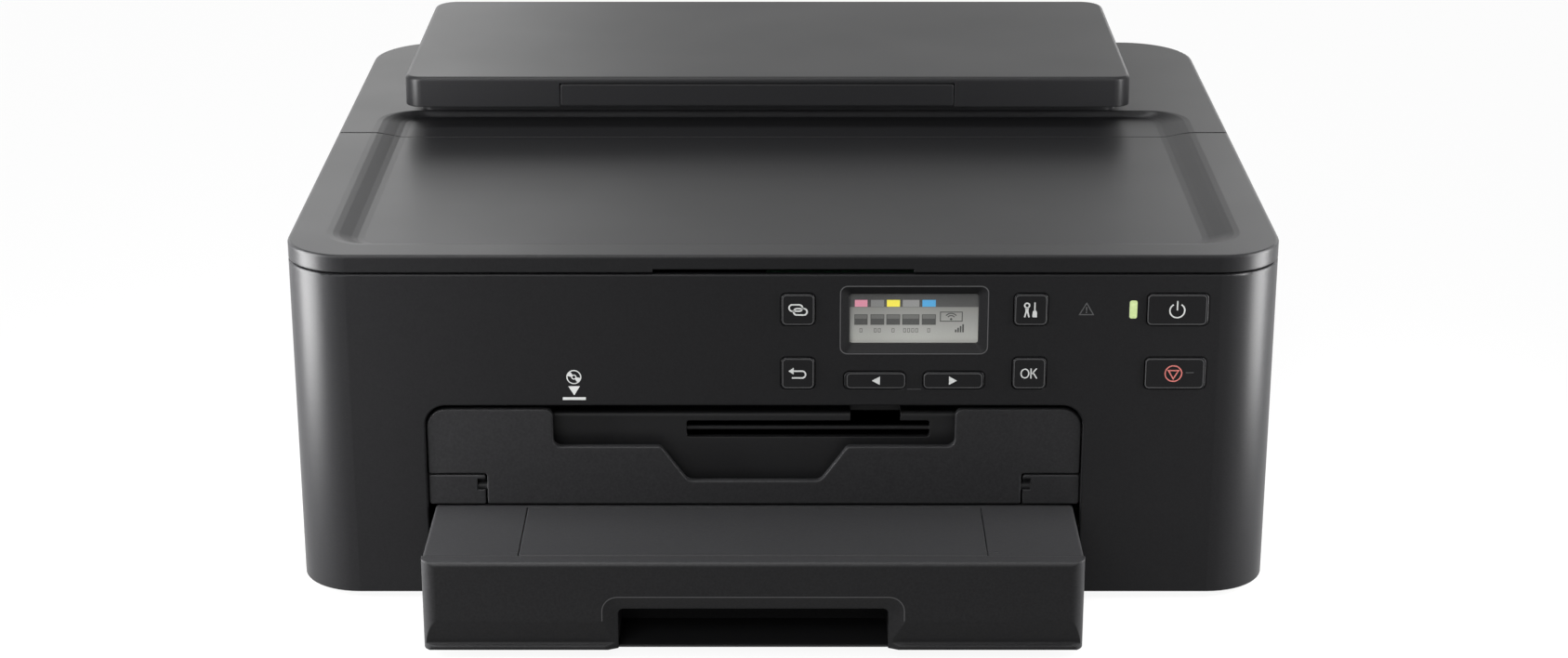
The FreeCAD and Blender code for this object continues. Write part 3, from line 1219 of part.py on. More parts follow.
def platen():
    """Ribbed bed under the print head."""
    bed = side(rect(PLATEN_FRONT, PLATEN_BACK, PAPER_Z - 8, PAPER_Z - 2, 0), -PLATE_X, PURGE_X0 - 2)
    ribs = []
    count = 15
    step = PAPER_W / count
    for i in range(count):
        x = PATH_X + (i - (count - 1) / 2) * step
        profile = [
            (PLATEN_FRONT + 1, PAPER_Z - 2.5, 0),
            (PLATEN_BACK - 1, PAPER_Z - 2.5, 0),
            (PLATEN_BACK - 3, PAPER_Z - SLIDE_GAP, 0),
            (PLATEN_FRONT + 3, PAPER_Z - SLIDE_GAP, 0),
        ]
        ribs.append(side(profile, x - 0.8, x + 0.8))
    return fuse(bed, *ribs)


save("platen", platen())

PINCH_R = 3.0
pinch_z = PAPER_Z + PINCH_R + FIT
holder = side(
    [
        (FEED_ROLLER_D - 3, pinch_z + 1, 0),
        (BEAM_D, pinch_z + 1.5, 0),
        (BEAM_D, pinch_z + 4.5, 0),
        (FEED_ROLLER_D - 3, pinch_z + 4, 1.5),
    ],
    -PLATE_X,
    PATH_X + PAPER_W / 2 + 8,
)
pinch = []
for i in range(6):
    pinch_x = PATH_X + (i - 2.5) * PAPER_W / 6
    pinch.append(rod_x(pinch_x - 13, pinch_x + 13, FEED_ROLLER_D + 1, pinch_z, PINCH_R))
save("pinch_rollers", fuse(holder, *pinch))

SPUR_R = 4.2
spur_z = PAPER_Z + SPUR_R + FIT
bar = side(rect(EJECT_D - 4, EJECT_D + 4, spur_z + 1, spur_z + 6, 1), -PLATE_X, PLATE_X)
spurs = []
for i in range(EJECT_RINGS):
    spur_x = PATH_X + (i - (EJECT_RINGS - 1) / 2) * ring_step
    spurs.append(rod_x(spur_x - 0.6, spur_x + 0.6, EJECT_D, spur_z, SPUR_R))
save("spur_wheels", fuse(bar, *spurs))


def rear_feed_tray():
    """Curved sheet that leads paper from the rear slot round to the feed roller."""
    corner_d = chute_d(CHUTE_FLOOR_Z)
    top_d = chute_d(CHUTE_TOP_Z)
    slant = CHUTE_T * math.sqrt(1 + CHUTE_RUN**2)
    low_d = chute_d(CHUTE_FLOOR_Z - CHUTE_T) + slant
    start_d = FEED_ROLLER_D + ROLLER_R + 2
    profile = [
        (start_d, CHUTE_FLOOR_Z - CHUTE_T, 0),
        (low_d, CHUTE_FLOOR_Z - CHUTE_T, 20 + CHUTE_T),
        (top_d + slant, CHUTE_TOP_Z, 0),
        (top_d, CHUTE_TOP_Z, 0),
        (corner_d, CHUTE_FLOOR_Z, 20),
        (start_d, CHUTE_FLOOR_Z, 0),
    ]
    return side(profile, PATH_X - SLOT_W / 2 - 4, PATH_X + SLOT_W / 2 + 4)


feed_tray = rear_feed_tray()
tray_legs = []
for leg_x in (-PLATE_X, PATH_X + SLOT_W / 2):
    leg_end = PATH_X - SLOT_W / 2 if leg_x < 0 else PLATE_X
    leg_z = CHUTE_FLOOR_Z - CHUTE_T
    tray_legs.append(block(leg_x, leg_end, BEAM_D + 20, BEAM_D + 40, leg_z, CHUTE_FLOOR_Z))
save("rear_feed_tray", fuse(feed_tray, *tray_legs))

pick_shaft = rod_x(-PLATE_OUT_X - 2, PLATE_OUT_X + 2, PICK_D, PICK_Z, SHAFT_R)
tyres = []
for tyre_x in (PATH_X - 28, PATH_X + 28):
    tyres.append(rod_x(tyre_x - 8, tyre_x + 8, PICK_D, PICK_Z, PICK_R))
save("rear_feed_roller", fuse(pick_shaft, *tyres))

for name, hand in (("rear_guide_left", -1), ("rear_guide_right", 1)):
    wall_x = sorted((PATH_X + hand * (PAPER_W / 2 + 0.5), PATH_X + hand * (PAPER_W / 2 + 2.7)))
    low_z = PICK_Z + PICK_R + FACE
    high_z = RIM_Z + 2
    profile = [
        (chute_d(low_z) - FIT * 1.3, low_z, 0),
        (chute_d(CHUTE_TOP_Z) - FIT * 1.3, CHUTE_TOP_Z, 0),
        (chute_d(CHUTE_TOP_Z) - FIT * 1.3, high_z, 2),
        (chute_d(high_z) - 13, high_z, 3),
        (chute_d(low_z + 4) - 9, low_z + 4, 2),
    ]
    save(name, side(profile, wall_x[0], wall_x[1]))


# Cassette pick-up
ARM_AXLE_R = 2.0
tip_d = ARM_PIVOT_D - math.sqrt(ARM_L**2 - ARM_DIP**2)
tip_z = ARM_PIVOT_Z - ARM_DIP


def pickup_arm():
    """Swing arm over the cassette, parked just above the tray; shaft runs in the side plates."""
    shaft = rod_x(-PLATE_OUT_X, PLATE_OUT_X, ARM_PIVOT_D, ARM_PIVOT_Z, SHAFT_R)
    hub = rod_x(PATH_X - 5, PATH_X + 5, ARM_PIVOT_D, ARM_PIVOT_Z, SHAFT_R + 3)
    tip = rod_x(PATH_X - 5, PATH_X + 5, tip_d, tip_z, 5)
    link = side(
        [
            (tip_d, tip_z - 3, 0),
            (ARM_PIVOT_D, ARM_PIVOT_Z - 4, 0),
            (ARM_PIVOT_D, ARM_PIVOT_Z + 4, 0),
            (tip_d, tip_z + 3, 0),
        ],
        PATH_X - 4,
        PATH_X + 4,
    )
    axle = rod_x(PATH_X - 20, PATH_X + 20, tip_d, tip_z, ARM_AXLE_R)
    return fuse(shaft, hub, link, tip, axle)


save("pickup_arm", pickup_arm())
wheels = []
for wheel_x in (PATH_X - 19, PATH_X + 6):
    wheel = rod_x(wheel_x, wheel_x + 13, tip_d, tip_z, ARM_WHEEL_R)
    wheels.append(wheel.cut(rod_x(wheel_x - 1, wheel_x + 14, tip_d, tip_z, ARM_AXLE_R + RUN)))
save("pickup_rollers", *wheels)


def purge_unit():
    """Cap and wiper station under the carriage's home place."""
    body = block(PURGE_X0, PLATE_X, PLATEN_FRONT + 2, PLATEN_BACK, FLOOR_Z + 40, PAPER_Z - 6)
    low_z = PAPER_Z - 7
    rim_z = PAPER_Z + HEAD_GAP - 2 * FIT
    cap = plan(middle_rect(HEAD_X, HEAD_D, HEAD_W - 2, HEAD_L - 2, 3), low_z, rim_z)
    hollow = plan(middle_rect(HEAD_X, HEAD_D, HEAD_W - 6, HEAD_L - 6, 2), PAPER_Z - 1, rim_z + 1)
    wiper = block(PLATE_X - 4, PLATE_X - 2.5, HEAD_D - 12, HEAD_D + 12, low_z, rim_z)
    return cut(fuse(body, cap, wiper), hollow)


save("purge_unit", purge_unit())
PAD_X0 = OPEN_X1 + BASE_RIB_T + FIT
PAD_FRONT = 30.0
PAD_L = 120.0
PAD_H = 12.0
PAD_R = 4.0
pad = rect(PAD_X0, PLATE_X - FIT, PAD_FRONT, PAD_FRONT + PAD_L, PAD_R)
save("ink_absorber", plan(pad, FLOOR_Z, FLOOR_Z + PAD_H))

# Electronics and rear wall pieces
BOARD_X = PORT_X + PORT_W / 2
BOX_H = 40.0
logic_face = rect(BEAM_D + 10, BODY_D - WALL - 6, FLOOR_Z, FLOOR_Z + BOX_H)
save("logic_board", side(logic_face, BOARD_X, BOARD_X + BOARD_T))
sockets = []
for z, height in ((USB_Z, USB_H), (LAN_Z, LAN_H)):
    shell = front(middle_rect(PORT_X, z, PORT_W, height, 0.8), BODY_D - 20, BODY_D - 0.8)
    hole = front(middle_rect(PORT_X, z, PORT_W - 2, height - 2, 0.5), BODY_D - 10, BODY_D)
    sockets.append(shell.cut(hole))
save("port_sockets", *sockets)


def power_supply():
    """Boxed supply on the floor with its two-pin inlet reaching through the rear wall."""
    x0 = -PLATE_X + 1
    x1 = OPEN_X0 - BASE_RIB_T - FIT
    box_end = BODY_D - REAR_R - 6
    body = block(x0, x1, BEAM_D + 8, box_end, FLOOR_Z, FLOOR_Z + BOX_H)
    neck = front(middle_rect(INLET_X, INLET_Z, INLET_W, INLET_H, 1), box_end - 1, BODY_D - SEAM)
    lobes = []
    for x in (INLET_X - 2.6, INLET_X + 2.6):
        lobes.append(rod_y(BODY_D - 12, BODY_D, x, INLET_Z, 3.2))
    pins = []
    for x in (INLET_X - 3, INLET_X + 3):
        pins.append(rod_y(BODY_D - 13, BODY_D - 2, x, INLET_Z, 1.1))
    return fuse(cut(fuse(body, neck), *lobes), *pins)


save("power_supply", power_supply())


def rear_panel():
    """Pull-off panel for clearing jams, with a finger groove and two side springs."""
    outer = front(middle_rect(PATH_X, REAR_PANEL_Z, REAR_PANEL_W, REAR_PANEL_H, 4), BODY_D - WALL, BODY_D)
    outer = soften(outer, 0.5, "Y", at(BODY_D))
    groove = front(middle_rect(PATH_X, REAR_PANEL_Z, 40, 10, 4), BODY_D - 1.4, BODY_D + 1)
    ribs = []
    for x in (PATH_X - REAR_PANEL_W / 3, PATH_X, PATH_X + REAR_PANEL_W / 3):
        rib_face = middle_rect(x, REAR_PANEL_Z, 2, REAR_PANEL_H - 12)
        ribs.append(front(rib_face, BODY_D - WALL - 8, BODY_D - WALL + 0.5))
    return fuse(outer.cut(groove), *ribs)


save("rear_panel", rear_panel())
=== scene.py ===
import bmesh
import bpy
import math
from mathutils import Matrix, Vector


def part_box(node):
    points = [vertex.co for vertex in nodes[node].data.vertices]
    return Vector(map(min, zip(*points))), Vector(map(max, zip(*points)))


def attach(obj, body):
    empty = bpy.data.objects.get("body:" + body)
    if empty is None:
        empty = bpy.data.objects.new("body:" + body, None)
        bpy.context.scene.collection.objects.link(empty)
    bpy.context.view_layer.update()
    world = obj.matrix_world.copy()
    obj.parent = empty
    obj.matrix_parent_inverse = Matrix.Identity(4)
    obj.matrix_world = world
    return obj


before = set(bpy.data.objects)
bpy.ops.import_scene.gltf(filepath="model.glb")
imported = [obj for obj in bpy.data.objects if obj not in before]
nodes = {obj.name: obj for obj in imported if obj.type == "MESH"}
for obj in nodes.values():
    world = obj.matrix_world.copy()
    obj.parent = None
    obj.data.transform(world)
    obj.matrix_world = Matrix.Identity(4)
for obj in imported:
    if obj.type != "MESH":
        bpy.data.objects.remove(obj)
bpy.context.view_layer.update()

# Outer mouldings: case, top covers, feed cover, paper support and rear panel.
# Black ABS from spark-eroded moulds, which leaves a fine satin grain that dulls the highlights.
# The parts clip and hinge together, and the front and the top are plain.


def paint(code):
    """Linear RGBA of an sRGB hex colour."""
    made = []
    for i in (0, 2, 4):
        c = int(code[i : i + 2], 16) / 255
        made.append(c / 12.92 if c <= 0.04045 else ((c + 0.055) / 1.055) ** 2.4)
    return (*made, 1.0)


def add(tree, kind, inputs=None, **settings):
    """Add a node with its settings; inputs are values or sockets to link from."""
    made = tree.nodes.new(kind)
    for key, value in settings.items():
        setattr(made, key, value)
    for key, value in (inputs or {}).items():
        if isinstance(value, bpy.types.NodeSocket):
            tree.links.new(value, made.inputs[key])
        else:
            made.inputs[key].default_value = value
    return made


def start_material(name):
    """Empty node material with its output; returns the material, tree and output."""
    mat = bpy.data.materials.new(name)
    mat.use_nodes = True
    tree = mat.node_tree
    tree.nodes.clear()
    return mat, tree, tree.nodes.new("ShaderNodeOutputMaterial")


def moulded(name, dark, light, grain_mm, bump, rough, spec=0.5, edge_mm=0.5):
    """Moulded plastic: fine tooth in colour and bump, cloudy gloss, edges softened by the tool."""
    mat, tree, out = start_material(name)
    place = add(tree, "ShaderNodeTexCoord").outputs["Object"]
    tooth = add(tree, "ShaderNodeTexNoise", {"Vector": place, "Scale": 1000 / grain_mm, "Detail": 3.0})
    cloud = add(tree, "ShaderNodeTexNoise", {"Vector": place, "Scale": 1000 / 60, "Detail": 2.0})
    tint = add(
        tree,
        "ShaderNodeMix",
        {"Factor": tooth.outputs["Fac"], 6: paint(dark), 7: paint(light)},
        data_type="RGBA",
    )
    gloss = add(
        tree,
        "ShaderNodeMapRange",
        {"Value": cloud.outputs["Fac"], 1: 0.3, 2: 0.7, 3: rough - 0.015, 4: rough + 0.015},
    )
    softened = add(tree, "ShaderNodeBevel", {"Radius": edge_mm / 1000}, samples=6)
    lift = add(
        tree,
        "ShaderNodeBump",
        {
            "Height": tooth.outputs["Fac"],
            "Strength": bump,
            "Distance": grain_mm / 20000,
            "Normal": softened.outputs[0],
        },
    )
    shade = add(
        tree,
        "ShaderNodeBsdfPrincipled",
        {
            "Base Color": tint.outputs[2],
            "Roughness": gloss.outputs[0],
            "Normal": lift.outputs[0],
            "Specular IOR Level": spec,
        },
    )
    tree.links.new(shade.outputs[0], out.inputs[0])
    return mat


def dress(mat, *names):
    """Give CAD pieces their finish."""
    for name in names:
        slots = nodes[name].data.materials
        slots.clear()
        slots.append(mat)


# The real grain is about 0.2 mm; it is drawn at 0.7 mm so that it shows at all.
satin_abs = moulded("spark_textured_abs", "0f0f10", "1a1a1b", 0.7, 0.35, 0.37, 0.10, 0.8)
dress(satin_abs, "main_case", "rear_top_cover", "access_cover", "feed_cover", "paper_support")
dress(satin_abs, "rear_panel")

# Output door and cassette: the same plastic from a coarser mould, which looks a little greyer.
# The door hangs on two blocks, and the cassette front is clipped to its tray.
tray_abs = moulded("coarse_textured_abs", "171718", "272728", 0.9, 0.4, 0.42, 0.10, 0.8)
dress(tray_abs, "output_door", "door_hinge_blocks", "cassette_front", "cassette_lid", "output_flap")

# Button caps: the same ABS, polished a little brighter on the face than the case.
# Each cap is guided by its hole and pressed back on a switch on the panel board.
cap_abs = moulded("button_abs", "0e0e0f", "161617", 0.7, 0.25, 0.30, 0.10, 0.6)
BUTTONS = ["connect", "back", "left", "right", "tools", "ok", "power", "stop"]
dress(cap_abs, *[name + "_button" for name in BUTTONS])

# Floor tray, paper path and carriage: unpainted black ABS and PS, smooth from the mould.
# These sit inside the case and show through the openings and when the covers are lifted.
inner_abs = moulded("plain_black_abs", "0d0d0e", "161617", 1.2, 0.15, 0.45, 0.20)
dress(inner_abs, "base_case", "inner_cover", "cassette_tray", "cassette_guide_left")
dress(inner_abs, "cassette_guide_right", "cassette_guide_end", "carriage", "platen", "pinch_rollers")
dress(inner_abs, "spur_wheels", "rear_feed_tray", "rear_guide_left", "rear_guide_right", "pickup_arm")
dress(inner_abs, "purge_unit", "print_head", "power_supply")

# Feet, tyres and the belt: black synthetic rubber, moulded, with a powdery bloom that makes it matt.
# The feet are pressed into the base, the tyres pushed on their hubs and the belt runs on two pulleys.
rubber = moulded("moulded_rubber", "141414", "252525", 1.6, 0.5, 0.78, 0.3)
dress(rubber, "rubber_feet", "pickup_rollers", "rear_feed_roller", "timing_belt")

# Gears and pulleys: white acetal, moulded, with a waxy low gloss that hides small marks.
# They are pressed on their shafts, at the left side plate and at the ends of the belt.
acetal = moulded("white_acetal", "cfccc2", "dedbd2", 2.0, 0.1, 0.35, 0.5)
dress(acetal, "idler_gear", "motor_pinion", "drive_pulley", "idle_pulley")

# Ink tanks: polypropylene pots from a polished mould, so that they look glossier than the carriage.
# Each one clips into its own place in the carriage.
tank_pp = moulded("gloss_polypropylene", "16171a", "1d1e21", 3.0, 0.05, 0.22, 0.5)
dress(tank_pp, "ink_tanks")

# Waste ink pad: pressed off-white felt, whose loose fibres take away all gloss.
# It lies loose on the floor tray.
felt = moulded("pressed_felt", "c9c5b8", "e4e1d6", 0.9, 0.9, 0.95, 0.1)
dress(felt, "ink_absorber")

# Frame plates, rail, motors and sockets: zinc-plated steel sheet, with a rolled grain along X.
# The shaft is ground bright and round, and the rollers have a dull grey coating that grips paper.
# Plates and rail are bent from sheet and screwed together, and the shaft and rollers run in them.


def plated(name, dark, light, rough, stretch):
    """Bright metal with fine lines along one direction and cloudy tarnish."""
    mat, tree, out = start_material(name)
    place = add(tree, "ShaderNodeTexCoord").outputs["Object"]
    spread = add(tree, "ShaderNodeMapping", {"Vector": place, "Scale": stretch})
    lines = add(tree, "ShaderNodeTexNoise", {"Vector": spread.outputs[0], "Scale": 1.0, "Detail": 4.0})
    tint = add(
        tree,
        "ShaderNodeMix",
        {"Factor": lines.outputs["Fac"], 6: paint(dark), 7: paint(light)},
        data_type="RGBA",
    )
    gloss = add(
        tree,
        "ShaderNodeMapRange",
        {"Value": lines.outputs["Fac"], 1: 0.3, 2: 0.7, 3: rough - 0.06, 4: rough + 0.06},
    )
    shade = add(
        tree,
        "ShaderNodeBsdfPrincipled",
        {"Base Color": tint.outputs[2], "Roughness": gloss.outputs[0], "Metallic": 1.0},
    )
    tree.links.new(shade.outputs[0], out.inputs[0])
    return mat


zinc = plated("zinc_plated_steel", "8d9092", "b4b7b8", 0.34, (60, 1500, 1500))
dress(zinc, "side_plates", "chassis_beam", "carriage_motor", "feed_motor", "port_sockets")
ground = plated("ground_steel_shaft", "a9abad", "c9cbcc", 0.18, (3000, 300, 300))
dress(ground, "carriage_shaft")
grit = plated("ceramic_coated_roller", "55585a", "7a7d7f", 0.55, (2200, 2200, 2200))
dress(grit, "feed_roller", "eject_roller")

# Circuit boards: green solder mask over glass-epoxy, smooth, with the weave showing faintly as tone.
# One is fixed behind the keys, and one stands at the side of the case.
board = moulded("green_solder_mask", "0f3a22", "1c5533", 2.5, 0.1, 0.30, 0.5)
dress(board, "panel_board", "logic_board")

# Finger pocket: a thin black sheet closes the handle recess from below, put there for the shade that fills
# the pocket.
# It rides with the cassette, in the same black as the tray.
front_low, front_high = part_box("cassette_front")


def bar(x0, x1, y0, y1, z0, z1):
    """Box mesh between two corners, in metres."""
    bm = bmesh.new()
    size = Matrix.Diagonal((x1 - x0, y1 - y0, z1 - z0, 1))
    middle = Matrix.Translation(((x0 + x1) / 2, (y0 + y1) / 2, (z0 + z1) / 2))
    bmesh.ops.create_cube(bm, size=1, matrix=middle @ size)
    return bm


def solid(name, bm, mat, body):
    """Make a piece of a mesh, with its finish, on the body it moves with."""
    mesh = bpy.data.meshes.new(name)
    bm.to_mesh(mesh)
    bm.free()
    mesh.materials.append(mat)
    piece = bpy.data.objects.new(name, mesh)
    bpy.context.scene.collection.objects.link(piece)
    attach(piece, body)
    return piece


SHEET_W, SHEET_T, SHEET_SET = 0.0991, 0.0008, 0.0035
sheet_x = (front_low.x + front_high.x) / 2
sheet_x0, sheet_x1 = sheet_x - SHEET_W / 2, sheet_x + SHEET_W / 2
shade_sheet = bar(sheet_x0, sheet_x1, front_low.y + SHEET_SET, front_high.y, front_low.z, front_low.z + SHEET_T)
solid("pocket_shade_sheet", shade_sheet, inner_abs, "cassette")

# Position strip: clear polyester film with fine printed bars, read by the carriage.
# The real bars are 0.08 mm apart; they are drawn at 1 mm so that they show.
film, film_tree, film_out = start_material("printed_polyester_film")
film_place = add(film_tree, "ShaderNodeTexCoord").outputs["Object"]
bars = add(
    film_tree,
    "ShaderNodeTexWave",
    {"Vector": film_place, "Scale": 1000 / 1.0 / 20},
    wave_type="BANDS",
    bands_direction="X",
)
film_tint = add(
    film_tree,
    "ShaderNodeMix",
    {"Factor": bars.outputs["Fac"], 6: paint("3b3b3b"), 7: paint("c8c8c4")},
    data_type="RGBA",
)
film_shade = add(
    film_tree, "ShaderNodeBsdfPrincipled", {"Base Color": film_tint.outputs[2], "Roughness": 0.15}
)
film_tree.links.new(film_shade.outputs[0], film_out.inputs[0])
dress(film, "encoder_strip")

# Power lamp: frosted acrylic light guide, moulded, lit pale green from behind.
# It is held in a hole of the case front, and the frost spreads the light evenly over its end.
lamp, lamp_tree, lamp_out = start_material("lit_frosted_acrylic")
lamp_place = add(lamp_tree, "ShaderNodeTexCoord").outputs["Object"]
frost = add(lamp_tree, "ShaderNodeTexNoise", {"Vector": lamp_place, "Scale": 1000 / 1.5, "Detail": 1.0})
lamp_tint = add(
    lamp_tree,
    "ShaderNodeMix",
    {"Factor": frost.outputs["Fac"], 6: paint("9fb473"), 7: paint("c2d09c")},
    data_type="RGBA",
)
lamp_shade = add(
    lamp_tree,
    "ShaderNodeBsdfPrincipled",
    {
        "Base Color": lamp_tint.outputs[2],
        "Emission Color": lamp_tint.outputs[2],
        "Emission Strength": 0.06,
        "Roughness": 0.4,
    },
)
lamp_tree.links.new(lamp_shade.outputs[0], lamp_out.inputs[0])
dress(lamp, "power_lamp")

# Display: a reflective module behind a clear acrylic pane seated at the back of the bezel.
# The pane is nearly all clear and only shows by its reflections.
pane, pane_tree, pane_out = start_material("clear_acrylic_pane")
pane_place = add(pane_tree, "ShaderNodeTexCoord").outputs["Object"]
smear = add(pane_tree, "ShaderNodeTexNoise", {"Vector": pane_place, "Scale": 1000 / 15, "Detail": 2.0})
smear_rough = add(
    pane_tree, "ShaderNodeMapRange", {"Value": smear.outputs["Fac"], 1: 0.3, 2: 0.7, 3: 0.03, 4: 0.09}
)
pane_shade = add(
    pane_tree,
    "ShaderNodeBsdfPrincipled",
    {
        "Base Color": paint("dfe3e2"),
        "Roughness": smear_rough.outputs[0],
        "Alpha": 0.04,
        "Specular IOR Level": 0.15,
    },
)
pane_tree.links.new(pane_shade.outputs[0], pane_out.inputs[0])
dress(pane, "lcd_window")

# Display module: a reflective film with painted shade: its colour darkens from the paler bottom towards the
# top, where the bezel's shade is painted in; sizes in mm.
# The step near the top is the screen's own darker upper field, and a faint painted glow lifts the whole
# film.
# Its picture lies just behind the pane, on the front of the module.
LCD_X0, LCD_X1, LCD_Z0, LCD_Z1 = 24.7, 72.5, 103.5, 123.1
screen, screen_tree, screen_out = start_material("lcd_film_painted_shade")
screen_place = add(screen_tree, "ShaderNodeTexCoord").outputs["Object"]
screen_axes = add(screen_tree, "ShaderNodeSeparateXYZ", {"Vector": screen_place})
rise = add(
    screen_tree,
    "ShaderNodeMapRange",
    {"Value": screen_axes.outputs["Z"], 1: LCD_Z0 / 1000, 2: LCD_Z1 / 1000},
)
# Painted shade: the film darkens upwards, as under the shadow of the bezel.
ramp = add(screen_tree, "ShaderNodeValToRGB", {"Fac": rise.outputs[0]})
ramp.color_ramp.elements[0].color = paint("a3a39e")
ramp.color_ramp.elements[1].color = paint("050505")
for height, code in ((0.34, "90908c"), (0.69, "7a7a76"), (0.705, "353433")):
    ramp.color_ramp.elements.new(height).color = paint(code)
# The emission is a painted glow; the reflective film gives no light of its own.
screen_shade = add(
    screen_tree,
    "ShaderNodeBsdfPrincipled",
    {
        "Base Color": ramp.outputs[0],
        "Emission Color": ramp.outputs[0],
        "Emission Strength": 0.15,
        "Roughness": 0.35,
    },
)
screen_tree.links.new(screen_shade.outputs[0], screen_out.inputs[0])
dress(screen, "lcd_module")

# Screen segments and printed marks: flat ink areas a few hundredths of a millimetre thick.
# The screen has level bars, colour tabs, small segments, a frame and signal bars.
FRONT_Y = -130.5


def ink(name, code, rough=0.45, painted_glow=0.0):
    """Screen-printing ink, with a little uneven cover; painted_glow adds a glow of painted light."""
    mat, tree, out = start_material(name)
    place = add(tree, "ShaderNodeTexCoord").outputs["Object"]
    cover = add(tree, "ShaderNodeTexNoise", {"Vector": place, "Scale": 1000 / 0.8, "Detail": 2.0})
    wet = add(tree, "ShaderNodeMapRange", {"Value": cover.outputs["Fac"], 3: rough - 0.05, 4: rough + 0.05})
    shade = add(
        tree,
        "ShaderNodeBsdfPrincipled",
        {
            "Base Color": paint(code),
            "Roughness": wet.outputs[0],
            "Emission Color": paint(code),
            "Emission Strength": painted_glow,
        },
    )
    tree.links.new(shade.outputs[0], out.inputs[0])
    return mat


def mark(name, shapes, x, z, depth, mat, body):
    """Flat ink areas from (x, z) outlines in mm, facing forward at a depth behind the case front."""
    mesh = bpy.data.meshes.new(name)
    bm = bmesh.new()
    for shape in shapes:
        points = [bm.verts.new(((x + u) / 1000, (FRONT_Y + depth) / 1000, (z + v) / 1000)) for u, v in shape]
        face = bm.faces.new(points)
        face.normal_update()
        if face.normal.y > 0:
            face.normal_flip()
    bmesh.ops.triangulate(bm, faces=bm.faces[:])
    bm.to_mesh(mesh)
    bm.free()
    mesh.materials.append(mat)
    piece = bpy.data.objects.new(name, mesh)
    bpy.context.scene.collection.objects.link(piece)
    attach(piece, body)
    return piece


def area(u0, u1, v0, v1):
    """Outline of a rectangle."""
    return [(u0, v0), (u1, v0), (u1, v1), (u0, v1)]


def arc(u, v, radius, a0, a1, steps=24):
    """Points along part of a circle, between two angles in degrees."""
    made = []
    for i in range(steps + 1):
        a = math.radians(a0 + (a1 - a0) * i / steps)
        made.append((u + radius * math.cos(a), v + radius * math.sin(a)))
    return made


def stroke(points, width, closed=False):
    """Quads that follow a line at an even width, mitred at the bends."""
    line = [Vector(p) for p in points]
    count = len(line)
    sides = []
    for i in range(count):
        before = line[i] - line[i - 1] if closed or i else line[1] - line[0]
        after = line[(i + 1) % count] - line[i] if closed or i < count - 1 else before
        before = before.normalized()
        after = after.normalized()
        normal = Vector((-(before + after).y, (before + after).x)).normalized()
        reach = width / 2 / max(0.35, normal.dot(Vector((-before.y, before.x))))
        sides.append((line[i] + normal * reach, line[i] - normal * reach))
    made = []
    for i in range(count if closed else count - 1):
        a, b = sides[i], sides[(i + 1) % count]
        made.append([tuple(a[0]), tuple(a[1]), tuple(b[1]), tuple(b[0])])
    return made


SCREEN_D, LAYER = 3.66, 0.02
film_area = area(LCD_X0 - 1, LCD_X1 + 1, LCD_Z0 - 1, LCD_Z1 + 1)
mark("lcd_film", [film_area], 0, 0, SCREEN_D + LAYER, screen, "case")
TABS = [(26.6, 31.3, "cf8599", 1), (32.6, 37.5, "6f6f6e", 2), (38.5, 43.4, "e8db45", 1)]
TABS += [(44.4, 50.6, "7a7a79", 4), (51.7, 56.7, "3f93c4", 1)]
TAB_LOW, TAB_HIGH, LEVEL_LOW, LEVEL_MID, LEVEL_HIGH = 117.3, 120.0, 110.3, 112.6, 114.2
BLOCK_LOW, BLOCK_HIGH, BLOCK_W, BLOCK_STEP = 107.3, 108.7, 0.8, 1.5
level_ink = ink("lcd_segment_dark", "2f2f2d", 0.35)
level_grey = ink("lcd_segment_grey", "5c5c59", 0.35)
blocks = []
for i, (x0, x1, code, count) in enumerate(TABS):
    # The colour tabs get a painted glow, light that the screen itself does not give.
    tab_ink = ink("lcd_tab_" + str(i), code, 0.35, 0.25)
    mark("lcd_tab_" + str(i), [area(x0, x1, TAB_LOW, TAB_HIGH)], 0, 0, SCREEN_D, tab_ink, "case")
    level_area = area(x0, x1, LEVEL_LOW, LEVEL_MID)
    mark("lcd_level_" + str(i), [level_area], 0, 0, SCREEN_D, level_ink, "case")
    level_top = area(x0, x1, LEVEL_MID, LEVEL_HIGH)
    mark("lcd_level_top_" + str(i), [level_top], 0, 0, SCREEN_D, level_grey, "case")
    rim = stroke(area(x0, x1, LEVEL_LOW, LEVEL_HIGH), 0.25, True)
    mark("lcd_level_rim_" + str(i), rim, 0, 0, SCREEN_D - LAYER, level_ink, "case")
    for k in range(count):
        u = (x0 + x1) / 2 + (k - (count - 1) / 2) * BLOCK_STEP
        blocks += stroke(area(u - BLOCK_W / 2, u + BLOCK_W / 2, BLOCK_LOW, BLOCK_HIGH), 0.25, True)
mark("lcd_small_segments", blocks, 0, 0, SCREEN_D, level_grey, "case")
frame_box = stroke(area(58.5, 66.6, 111.6, 115.2), 0.35, True)
mark("lcd_frame", frame_box, 0, 0, SCREEN_D, level_ink, "case")
WAVE_X, WAVE_Z = 62.5, 112.2
wave = stroke(arc(WAVE_X, WAVE_Z, 1.6, 40, 140, 10), 0.4)
wave += stroke(arc(WAVE_X, WAVE_Z, 2.5, 40, 140, 10), 0.4) + [arc(WAVE_X, 112.4, 0.45, 0, 330, 11)]
mark("lcd_wave", wave, 0, 0, SCREEN_D, level_ink, "case")
signal = [area(64.0 + i * 0.9, 64.6 + i * 0.9, 107.2, 108.3 + i * 0.7) for i in range(4)]
mark("lcd_signal", signal, 0, 0, SCREEN_D, level_ink, "case")

